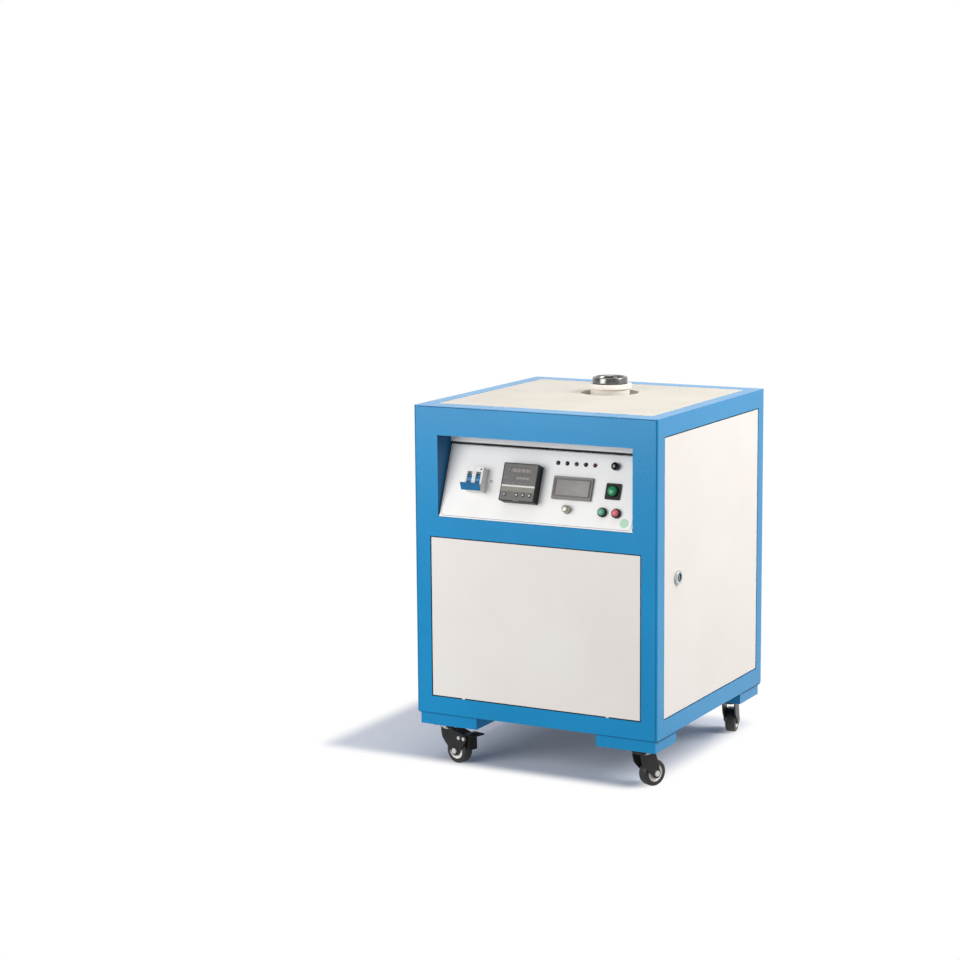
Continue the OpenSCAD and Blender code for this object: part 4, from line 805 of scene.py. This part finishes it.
def on_drum(x, out):
    """Matrix of a place on the handle's drum, turned up the slope from the panel's normal."""
    return BREAKER @ shift(x, 0, DRUM_AXIS) @ rotation(DRUM_TURN, "X") @ shift(0, 0, out)


recess = moulded(7.4, 5.6, 0.3, corner=0.6)
recess_places = [on_drum(x, 11.1) for x in POLES]
settle_row(recess, recess_places, "toggle_recess", black_abs, "breaker_toggle", "blue_plastic")
tick = moulded(1.0, 2.6, 0.15, corner=0.2)
tick_places = [on_drum(x, 11.35) for x in POLES]
settle_row(tick, tick_places, "toggle_mark", key_white, "breaker_toggle", "white_plastic")
print("toggle recesses:", len(recess_places))

# %% Screws of the breaker and the panel
screw_hole = turned([(0, 0), (1.6, 0), (1.6, 0.25), (1.3, 0.3), (1.2, 0.15), (0, 0.15)], steps=24)
hole_places = [BREAKER @ shift(x, y, NOSE) for x, y in ((13.5, 19), (13.5, -17.5), (-13.5, -18.5))]
settle_row(screw_hole, hole_places, "breaker_screw", black_abs, "breaker_body", "white_plastic")
pole_seam = moulded(0.5, 44, 0.15)
settle(
    pole_seam, "breaker_pole_seam", beige_painted_shade_and_seam, "breaker_body", "white_plastic",
    BREAKER @ shift(0, 1, NOSE),
)
panel_screw = turned(
    [(0, 0), (3.1, 0), (2.9, 0.6), (2.2, 1.0), (1.2, 1.1), (1.1, 0.4), (0, 0.4)], steps=24
)
settle(panel_screw, "panel_screw", zinc_plate, "control_panel", "zinc", on_panel(-101.5, 74.3))
print("breaker screws:", len(hole_places))

# %% [markdown]
# ## Temperature controller
# The controller is a black ABS case behind a grey bezel foil with a black border. Its two smoked
# windows are sunk a little and show unlit digits. A light stripe divides displays from keys, an
# olive band lies under it, and small faint marks stand beside and below the windows.

# %% Controller face
CONTROLLER = on_panel(-34, MIDDLE_ROW)
FACE = 20
controller = softened("controller_case", black_abs, 0.8, 3)
paint_faces(controller, grey_abs, CONTROLLER, lambda c, n: n.z > 0.9 and c.z > 19.9)
paint_faces(
    controller, window_grey, CONTROLLER, lambda c, n: n.z > 0.9 and 19 < c.z < 19.9 and c.y > 0
)
stripes = {"light_stripe": (light_ink, -7.4, 3.4), "olive_band": (olive_ink, -13.4, 8.2)}
for name, (finish, y, height) in stripes.items():
    stripe = moulded(68, height, 0.12)
    settle(
        stripe, "controller_" + name, finish, "controller_case", "grey_plastic",
        CONTROLLER @ shift(0, y, FACE),
    )
rim_of(
    (72, 72, 0.15), 1.7, 2, "controller_edge", black_abs, "controller_case", "black_plastic",
    CONTROLLER @ shift(0, 0, FACE - 0.05),
)
print("controller stripes:", len(stripes))

# %% Marks, latch and digits of the controller
mark = moulded(1.7, 1.7, 0.12, corner=0.3)
marks = [(-25, 23), (-28, 8), (-26, -2), (-20, -2), (-13, -2), (3, -2), (12, -2)]
mark_places = [CONTROLLER @ shift(x, y, FACE) for x, y in marks]
settle_row(mark, mark_places, "controller_mark", faint_ink, "controller_case", "grey_plastic")
latch = moulded(13, 2.2, 1.2, corner=0.8)
settle(
    latch, "controller_latch", black_gloss, "controller_case", "black_plastic",
    CONTROLLER @ shift(0, -34.6, FACE - 0.8),
)
segment = moulded(5.4, 5.6, 0.1, corner=0.5)
upper_digits = [(x, 22.2, 1.0) for x in (-12, -3.4, 5.4, 14)]
lower_digits = [(x, 7.9, 0.8) for x in (-3.5, 3, 9.5, 16)]
digit_places = [
    CONTROLLER @ shift(x, y, FACE - 0.6) @ Matrix.Diagonal((size, size, 1, 1))
    for x, y, size in upper_digits + lower_digits
]
settle_row(
    segment, digit_places, "controller_digit", digit_glow, "controller_case", "grey_plastic"
)
print("marks:", len(marks), "digits:", len(digit_places))

# %% [markdown]
# The four keys are dark domes. Three carry a plain arrow, a three-sided prism 0.2 mm high with
# rounded corners that is turned to point left, down or up. The fourth carries a ring.

# %% Keys with their arrows
KEYS = {
    "key_set": (-25.4, None),
    "key_left": (-0.6, 90),
    "key_down": (12.9, 180),
    "key_up": (26.3, 0),
}
KEY_ROW = -23.8
deselect()
bpy.ops.mesh.primitive_cylinder_add(vertices=3, radius=2.1 * MM, depth=0.2 * MM)
arrow = bpy.context.object
bpy.ops.object.mode_set(mode="EDIT")
pick("EDGE", lambda mid, way: abs(way.z) > 0.9)
bpy.ops.mesh.bevel(offset=0.3 * MM, segments=3, affect="EDGES")
bpy.ops.object.mode_set(mode="OBJECT")
ring = turned([(1.5, 0), (2.0, 0), (2.0, 0.2), (1.5, 0.2)], steps=32, closed=True)
cap = turned(
    [(0, -3.3), (4, -3.3), (4, -2.3), (3, -2.3), (3, 0.8), (2.7, 1.2), (1.8, 1.3), (0, 1.3)],
    steps=40,
)
key_places = [CONTROLLER @ shift(x, KEY_ROW, FACE) for x, _ in KEYS.values()]
for node, piece in zip(KEYS, copies(cap, key_places)):
    settle(piece, node + "_cap", key_finish, node)
    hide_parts(node)
arrows = {node: (x, turn) for node, (x, turn) in KEYS.items() if turn is not None}
arrow_places = [
    CONTROLLER @ shift(x, KEY_ROW, FACE + 1.35) @ rotation(turn, "Z") for x, turn in arrows.values()
]
for node, piece in zip(arrows, copies(arrow, arrow_places)):
    settle(piece, node + "_arrow", key_white, node)
ring_place = CONTROLLER @ shift(KEYS["key_set"][0], KEY_ROW, FACE + 1.25)
settle(ring, "key_set_ring", key_white, "key_set", place=ring_place)
print("keys:", len(KEYS), "arrows:", len(arrows))

# %% [markdown]
# ## Panel meter
# The digital meter clips into its cut-out from the front. Its moulded bezel has an outer rim, a
# shallow valley and a raised inner frame round the tinted window. The frame is made as the
# printed one was: a rounded plate, its faces deleted, and the rim given its thickness.

# %% Meter
METER = on_panel(68.4, 72.5)
meter = softened("digital_meter", meter_grey, 0.6, 3)
paint_faces(meter, display_dark, METER, lambda c, n: n.z > 0.9 and 4 < c.z < 4.5)
inner_frame = rim_of(
    (72, 34, 1.1), 2.2, 2, "meter_inner_frame", frame_shade, "digital_meter", "black_plastic",
    METER @ shift(0, 0.5, 4.3),
)
rounded = {"limit_method": "ANGLE", "angle_limit": math.radians(50)}
apply_modifier(inner_frame, "BEVEL", width=0.35 * MM, segments=2, **rounded)
smooth(inner_frame)
window = moulded(67, 29, 0.3)
window_place = METER @ shift(0, 0.5, 4.25)
settle(window, "meter_window", tinted, "digital_meter", "gloss_black", window_place)
print("meter's inner frame:", [round(v / MM, 1) for v in inner_frame.dimensions])

# %% [markdown]
# ## Lamps, buttons and knobs
# All of these are round, so each is one spun section. A push button is one moulding from its
# domed cap to the disc that holds it behind the bush. Five equal lamp holders are one piece
# copied; only the dark lenses differ in colour.

# %% Indicator lamps
lamp_places = [on_panel(29.8 + 18.8 * i, TOP_ROW) for i in range(5)]
holder = turned(
    [
        (0, -14), (2.8, -14), (2.8, -4), (4.3, -4), (4.3, -2.01), (2.8, -2.01), (2.8, -0.01),
        (4, -0.01), (4, 1.0), (3.6, 1.5), (3.1, 1.5), (3.0, 0.6), (0, 0.6),
    ],
    steps=40,
)
holders = joined(copies(holder, lamp_places))
settle(holders, "lamp_holders", black_abs, "indicator_lamps", "lamp_lens")
smooth(holders)
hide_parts("indicator_lamps")
lens = turned([(0, 0.5), (3, 0.5), (3, 2.0), (2.7, 2.9), (1.9, 3.4), (0, 3.6)], steps=40)
lens_finishes = [green_lamp, green_lamp, red_lamp, green_lamp, red_lamp]
for i, piece in enumerate(copies(lens, lamp_places)):
    settle(piece, f"lamp_lens_{i + 1}", lens_finishes[i], "indicator_lamps", "lamp_lens")
print("lamps:", len(lamp_places))

# %% Lamp switch
SWITCH = on_panel(150, MIDDLE_ROW)
softened("panel_bushes", black_abs, 0.5, 3)
plunger = turned(
    [
        (0, -13.8), (12.2, -13.8), (12.2, -12.3), (11, -12.3), (11, 6.2), (10.6, 6.9),
        (9.6, 7.1), (9.2, 6.6), (0, 6.6),
    ],
    steps=72,
)
settle(plunger, "switch_plunger", black_abs, "lamp_switch", "switch_lens", SWITCH)
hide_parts("lamp_switch")
dome = turned(
    [(0, 6.5), (9.1, 6.5), (9.1, 7.2), (8.6, 8.2), (7.2, 9.2), (4.5, 9.9), (0, 10.2)], steps=64
)
settle(dome, "switch_lens", green_lens_painted_glow, "lamp_switch", "switch_lens", SWITCH)
print("switch lens:", [round(v / MM, 1) for v in dome.dimensions])

# %% Start and stop buttons
button = turned(
    [
        (0, -13.8), (7.6, -13.8), (7.6, -12.3), (6.4, -12.3), (6.4, 8.6), (6.2, 9.6),
        (5.4, 10.6), (4.0, 11.3), (2.2, 11.6), (0, 11.7),
    ],
    steps=64,
)
buttons = {"start_button": (135.5, green_cap_painted_sheen), "stop_button": (163.3, red_cap_painted_sheen)}
button_places = [on_panel(x, LOW_ROW) for x, _ in buttons.values()]
for (node, (_, finish)), piece in zip(buttons.items(), copies(button, button_places)):
    settle(piece, node + "_cap", finish, node)
    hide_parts(node)
print("buttons:", len(buttons))

# %% Knobs
POWER = on_panel(64, LOW_ROW)
MODE = on_panel(148, TOP_ROW)
stem = [(0, -13.8), (4.5, -13.8), (4.5, -12.3), (3, -12.3), (3, 1.3)]
drum = [(7.6, 1.3), (8, 1.8), (7.9, 3), (7.3, 3.4), (7.0, 11.6), (6.2, 13.2), (4.6, 14), (0, 14)]
power = turned(stem + drum, steps=64)
settle(power, "power_knob_turned", knob_grey, "power_knob", "knob_grey", POWER)
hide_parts("power_knob")
bulb = [
    (6.6, 1.3), (7.2, 2.2), (7.5, 5), (7.3, 8.2), (6.3, 10.4), (4.4, 11.6), (2.2, 12), (0, 12.1),
]
mode = turned(stem + bulb, steps=64)
settle(mode, "mode_knob_turned", black_gloss, "mode_knob", "gloss_black", MODE)
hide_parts("mode_knob")
pointer = moulded(0.9, 4.4, 0.25, corner=0.3)
pointer_places = [POWER @ shift(0, 2.4, 13.9), MODE @ shift(0, 0, 11.95)]
for node, piece in zip(("power_knob", "mode_knob"), copies(pointer, pointer_places)):
    settle(piece, node + "_pointer", key_white, node)
print("knobs:", len(pointer_places))

# %% [markdown]
# ## Door locks
# Each side door has a quarter-turn lock: a zinc die-cast head, a core with a slot for a coin or
# key, and a cam inside. The head's edge is rounded by the die. The ring round the core is a dark
# chromated recess, which reads as a teal ring, and a bright bar crosses it and turns with the
# cam. Both are set against the outermost face of the part that carries them.

# %% Locks
CORE_RADIUS = 5.8
recess_ring = turned([(5.9, 0), (8.4, 0), (8.3, 0.25), (6.0, 0.25)], steps=40, closed=True)
bar = moulded(8.6, 1.7, 0.35, corner=0.4)
ring_places, bar_places = [], []
for side, sign in SIDES.items():
    lock_place = at(sign * 249.5, 89.4, 288.5)
    softened(f"{side}_lock_housing", chrome_plate, 0.8, 3)
    core = softened(f"{side}_lock_cam", zinc_plate, 0.3)
    paint_faces(
        core,
        lock_teal,
        lock_place,
        lambda c, n: sign * n.x > 0.5 and sign * c.x > 0 and math.hypot(c.y, c.z) < CORE_RADIUS,
    )
    outermost = 0 if side == "left" else 1
    for places, node in ((ring_places, f"{side}_lock_housing"), (bar_places, f"{side}_lock_cam")):
        there = lock_place.translation.copy()
        there.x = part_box(node)[outermost].x - sign * 0.05 * MM
        places.append(Matrix.Translation(there) @ rotation(90 * sign, "Y"))
for side, piece in zip(SIDES, copies(recess_ring, ring_places)):
    settle(piece, f"{side}_lock_recess", lock_teal, f"{side}_lock_housing", "zinc")
for side, piece in zip(SIDES, copies(bar, bar_places)):
    settle(piece, f"{side}_lock_bar", chrome_plate, f"{side}_lock_cam", "zinc")
print("locks at:", [[round(v / MM, 1) for v in m.translation] for m in ring_places])

# %% [markdown]
# ## Casters
# Forks and plates are stamped steel dipped in black paint; axle nuts, rivets and bolts stay
# zinc. Nuts and rivets are one solid with their fork in the CAD, so their faces are found by
# their place outside the fork's cheeks and given the pale zinc with its painted highlight. A wheel
# is a polyurethane tread on a pale nylon hub with a dark bearing. Its sections are spun once and
# copied to the four corners. The two brake pedals are black plastic with three ridges each.

# %% Forks and plates
CHEEK_FACE = 13.6
for corner in CASTERS:
    fork = softened(f"fork_{corner}", black_dip, 0.5)
    # Axle nuts and rivets get the pale zinc, a painted highlight.
    bright = paint_faces(
        fork,
        axle_zinc_painted_highlight,
        on_caster(corner),
        lambda c, n: abs(c.y) > CHEEK_FACE and (c.z < -12 or abs(c.x) < 7),
    )
    print(f"fork_{corner}: bright faces of axle and rivets:", bright)
softened("caster_plates", black_dip, 0.4)
softened("caster_bolts", zinc_plate, 0.3)

# %% Wheels
TRAIL, AXLE_DROP = 22.5, 53
tread = turned(
    [(16, -9.6), (22, -10), (24.1, -8.8), (25, -6.5), (25, 6.5), (24.1, 8.8), (22, 10), (16, 9.6)],
    steps=72,
    closed=True,
)
hub_ring = turned(
    [
        (9, -8.2), (9.6, -8.6), (15.4, -8.6), (16.2, -9.8),
        (16.2, 9.8), (15.4, 8.6), (9.6, 8.6), (9, 8.2),
    ],
    steps=64,
    closed=True,
)
bearing = turned(
    [(3.05, -10), (8.2, -10), (9.1, -9), (9.1, 9), (8.2, 10), (3.05, 10)], steps=48, closed=True
)
wheel_places = [
    on_caster(corner) @ shift(TRAIL, 0, -AXLE_DROP) @ rotation(90, "X") for corner in CASTERS
]
wheel_parts = {
    "tread": (tread, tread_rubber),
    "hub_ring": (hub_ring, hub_white),
    "bearing": (bearing, black_abs),
}
for part, (model, finish) in wheel_parts.items():
    for corner, piece in zip(CASTERS, copies(model, wheel_places)):
        node = f"wheel_{corner}"
        settle(piece, f"{node}_{part}", finish, node)
        smooth(piece)
        if part == "tread":
            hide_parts(node)
print("wheels:", len(wheel_places))

# %% Brake pedals
BRAKED = ("front_left", "rear_left")
RIDGES = {1: 60, 2: 64, 3: 68}
ridge = moulded(1.4, 24, 0.9, corner=0.5, rim=0.4, segments=3)
for corner in BRAKED:
    softened(f"pedal_{corner}", black_abs, 0.7, 3)
ridge_rows = [(corner, number) for corner in BRAKED for number in RIDGES]
ridge_places = [on_caster(corner) @ shift(RIDGES[n], 0, -15.1) for corner, n in ridge_rows]
for (corner, number), piece in zip(ridge_rows, copies(ridge, ridge_places)):
    node = f"pedal_{corner}"
    settle(piece, f"{node}_ridge_{number}", black_abs, node)
print("pedal ridges:", len(ridge_rows))

# %% [markdown]
# ## Melting unit and power parts
# Behind the doors the parts keep their CAD shapes with softened edges, and each material of a part
# gets its own finish: the transformer's core and its taped winding, the black power modules on
# their aluminium sink, the capacitors' cases and copper bars, and the parts of the control board.
# The second finish starts at a height over the floor sheet, or beside the transformer's core.

# %% Power parts
SHEET = 3
floor_parts = {
    "transformer": (varnished_core, tape, (110, 130), lambda c, n: abs(c.y) > 22.2 and c.z > 10),
    "heat_sink": (mill_aluminium, epoxy, (-115, 140), lambda c, n: c.z > 42.2),
    "capacitor_bank": (case_grey, copper_bar, (0, 300), lambda c, n: c.z > 84.5),
    "control_board": (board_green, epoxy, (110, 215), lambda c, n: c.z > 14),
}
for node, (finish, second, (x, y), test) in floor_parts.items():
    piece = softened(node, finish, 0.6)
    place = at(x, y, SHEET)
    print(node, "faces in the second finish:", paint_faces(piece, second, place, test))
    if node == "control_board":
        paint_faces(piece, connector, place, lambda c, n: c.z > 14 and c.y < -15)

# %% Module screws and capacitor bands
module_screw = turned(
    [(0, 1.4), (1.0, 1.4), (1.2, 2.5), (2.4, 2.4), (3.1, 1.6), (3.2, 0), (0, 0)], steps=24
)
module_places = [at(-115 + x, 140 + y, 62) for x in (-38, 38) for y in (-52, -32, 32, 52)]
settle_row(module_screw, module_places, "module_screw", zinc_plate, "heat_sink", "zinc")
band = moulded(92.6, 74.6, 10, corner=1.2)
band_places = [at(x, 300, SHEET + 60) for x in (-49, 49)]
settle_row(band, band_places, "capacitor_band", light_ink, "capacitor_bank", "capacitor_film")
print("module screws:", len(module_places), "capacitor bands:", len(band_places))

# %% [markdown]
# The hoses are held on their spigots by worm-drive clamps: a thin band with a screw housing. The
# coil's terminal blocks stand on fibre posts, and the coil keeps its one unbroken tube.

# %% Coil, terminals and fittings
POST_X, POST_RADIUS, POST_TOP = 47, 6.2, 540
coat(copper_tube, "induction_coil")
coat(hose_rubber, "water_hoses")
terminals = softened("coil_terminals", copper_bar, 0.6)
paint_faces(
    terminals,
    fibre_post,
    at(0, 403, 0),
    lambda c, n: math.hypot(abs(c.x) - POST_X, c.y) < POST_RADIUS and c.z < POST_TOP,
)
softened("refractory_block", block_ceramic, 1.5, 3)
softened("water_fittings", chrome_plate, 0.4)
softened("cable_gland", black_abs, 0.6)
softened("fan_housing", black_abs, 0.5)
softened("fan_rotor", black_abs, 0.3)
print("nodes with a finish:", sum(1 for o in frame["nodes"].values() if o.data.materials))

# %% Hose clamps
clamp_band = turned([(7.05, -4.5), (7.7, -4.5), (7.7, 4.5), (7.05, 4.5)], steps=48, closed=True)
housing = moulded(10, 7, 4.5, corner=1, rim=0.8, segments=3)
housing.matrix_world = shift(0, 7.4) @ rotation(-90, "X") @ housing.matrix_world
clamp = joined([clamp_band, housing])
clamp_ends = ((-47, 421, 479), (47, 421, 557), (-47, 485, 150), (47, 485, 150))
clamp_places = [at(*end) @ rotation(90, "X") for end in clamp_ends]
for piece in settle_row(clamp, clamp_places, "hose_clamp", zinc_plate, "water_hoses", "zinc"):
    smooth(piece)
print("hose clamps:", len(clamp_places))

# %% [markdown]
# ## Floor and light
# A studio sweep: a matt floor that turns into pure white away from the machine, so there is no
# horizon line. Inside a rectangle under the cabinet it is a real surface, which keeps the soft
# shadow. Past it the floor shines: white to the camera, weaker to matt surfaces, so that it
# doesn't light the object from below, and to glossy ones bright behind the machine and dim in
# front, as a dark room before a lit backdrop is. One white patch far to the left front gives the
# blue front its soft reflection.

# %% Floor
SHADOW_MIDDLE, SHADOW_HALF, FADE_WIDTH = (-0.14, 0.03, 0), (0.31, 0.24, 0), 0.06
deselect()
bpy.ops.mesh.primitive_plane_add(size=24)
floor = bpy.context.object
floor.name = "studio_floor"
sweep = bpy.data.materials.new("pale_studio_floor")
sweep.use_nodes = True
tree = sweep.node_tree
tree.nodes.clear()
where = add(tree, "TexCoord").outputs["Object"]
ray = add(tree, "LightPath").outputs
metres = add(tree, "SeparateXYZ", {"Vector": where}).outputs
backdrop = {"Value": metres["Y"], "From Min": -0.5, "From Max": 0.4, "To Min": 0.25}
behind = add(tree, "MapRange", backdrop).outputs["Result"]
far_front = {"Value": metres["Y"], "From Min": -3.3, "From Max": -4.1}
ahead = add(tree, "MapRange", far_front).outputs["Result"]
far_left = {"Value": metres["X"], "From Min": -1.5, "From Max": -2.1, "To Max": 0.9}
leftward = add(tree, "MapRange", far_left).outputs["Result"]
patch = add(tree, "Math", {0: ahead, 1: leftward}, operation="MULTIPLY").outputs[0]
mirrored = add(tree, "Math", {0: behind, 1: patch}, operation="ADD").outputs[0]
shone = add(tree, "Mix", {"Factor": ray["Is Diffuse Ray"], "A": 1.0, "B": 0.55})
shone = shone.outputs["Result"]
level = add(tree, "Mix", {"Factor": ray["Is Glossy Ray"], "A": shone, "B": mirrored})
level = level.outputs["Result"]
print("floor's brightness nodes:", len(tree.nodes))

# %% Shadow area and the floor's two surfaces
centred = add(tree, "VectorMath", {0: where, 1: SHADOW_MIDDLE}, operation="SUBTRACT").outputs[0]
inside = add(tree, "VectorMath", {0: centred}, operation="ABSOLUTE").outputs[0]
past = add(tree, "VectorMath", {0: inside, 1: SHADOW_HALF}, operation="SUBTRACT").outputs[0]
outside = add(tree, "VectorMath", {0: past, 1: (0, 0, 0)}, operation="MAXIMUM").outputs[0]
distance = add(tree, "VectorMath", {0: outside}, operation="LENGTH").outputs["Value"]
soft_edge = {"Value": distance, "From Max": FADE_WIDTH}
fade = add(tree, "MapRange", soft_edge, interpolation_type="SMOOTHSTEP").outputs["Result"]
matt = add(tree, "BsdfDiffuse", {"Color": lin("#E6EAF4")}).outputs["BSDF"]
white = add(tree, "Emission", {"Color": (1, 1, 1, 1), "Strength": level}).outputs["Emission"]
surface = add(tree, "MixShader", {0: fade, 1: matt, 2: white}).outputs["Shader"]
add(tree, "OutputMaterial", {"Surface": surface})
floor.data.materials.append(sweep)
print("floor's nodes:", len(tree.nodes))

# %% [markdown]
# One softbox behind the right side lights the top and the side door, a larger one from the left
# front lights the control panel, and one above softens both. The backdrop is white to the
# camera. To glossy surfaces it is bright behind the machine and dim in front, like the floor, and
# matt surfaces get only a weak, slightly blue light from it, so pale panels don't clip to white.

# %% Lights and backdrop
def area_light(name, place, size, power, colour="#FFFFFF"):
    """A square softbox aimed at the cabinet's middle, in metres and watts."""
    bpy.ops.object.light_add(type="AREA", location=place)
    lamp = bpy.context.object
    lamp.name = name
    lamp.data.shape = "SQUARE"
    lamp.data.size = size
    lamp.data.energy = power
    lamp.data.color = lin(colour)[:3]
    lamp.rotation_mode = "QUATERNION"
    lamp.rotation_quaternion = (MIDDLE - Vector(place)).to_track_quat("-Z", "Y")


MIDDLE = Vector((0, 0, 0.4))
area_light("key_softbox", (2.5, 0.6, 2.2), 1.2, 70, "#FFFDFA")
area_light("front_softbox", (-1.15, -2.6, 1.25), 1.8, 47)
area_light("top_softbox", (0.1, 0.0, 2.9), 2.0, 24)
world = bpy.data.worlds.new("white_backdrop")
bpy.context.scene.world = world
world.use_nodes = True
tree = world.node_tree
tree.nodes.clear()
rays = add(tree, "LightPath").outputs
way = add(tree, "TexCoord").outputs["Generated"]
depth = add(tree, "SeparateXYZ", {"Vector": way}).outputs["Y"]
dim_front = {"Value": depth, "From Min": -0.6, "From Max": 0.2, "To Min": 0.35}
studio = add(tree, "MapRange", dim_front).outputs["Result"]
shown = add(tree, "Mix", {"Factor": rays["Is Camera Ray"], "A": studio, "B": 1.0})
shown = shown.outputs["Result"]
strength = add(tree, "Mix", {"Factor": rays["Is Diffuse Ray"], "A": shown, "B": 0.3})
strength = strength.outputs["Result"]
# A Mix node's colour inputs are numbers 6 and 7, and its colour output is number 2.
white_or_sky = {0: rays["Is Diffuse Ray"], 6: (1, 1, 1, 1), 7: lin("#F3F7FF")}
ambient = add(tree, "Mix", white_or_sky, data_type="RGBA").outputs[2]
sky = add(tree, "Background", {"Color": ambient, "Strength": strength})
add(tree, "OutputWorld", {"Surface": sky.outputs["Background"]})
bpy.context.scene.view_settings.view_transform = "Standard"

# %% [markdown]
# ## Clearing the selection
# The visual model must stay inside the CAD's box.

# %% Clear the selection
deselect()
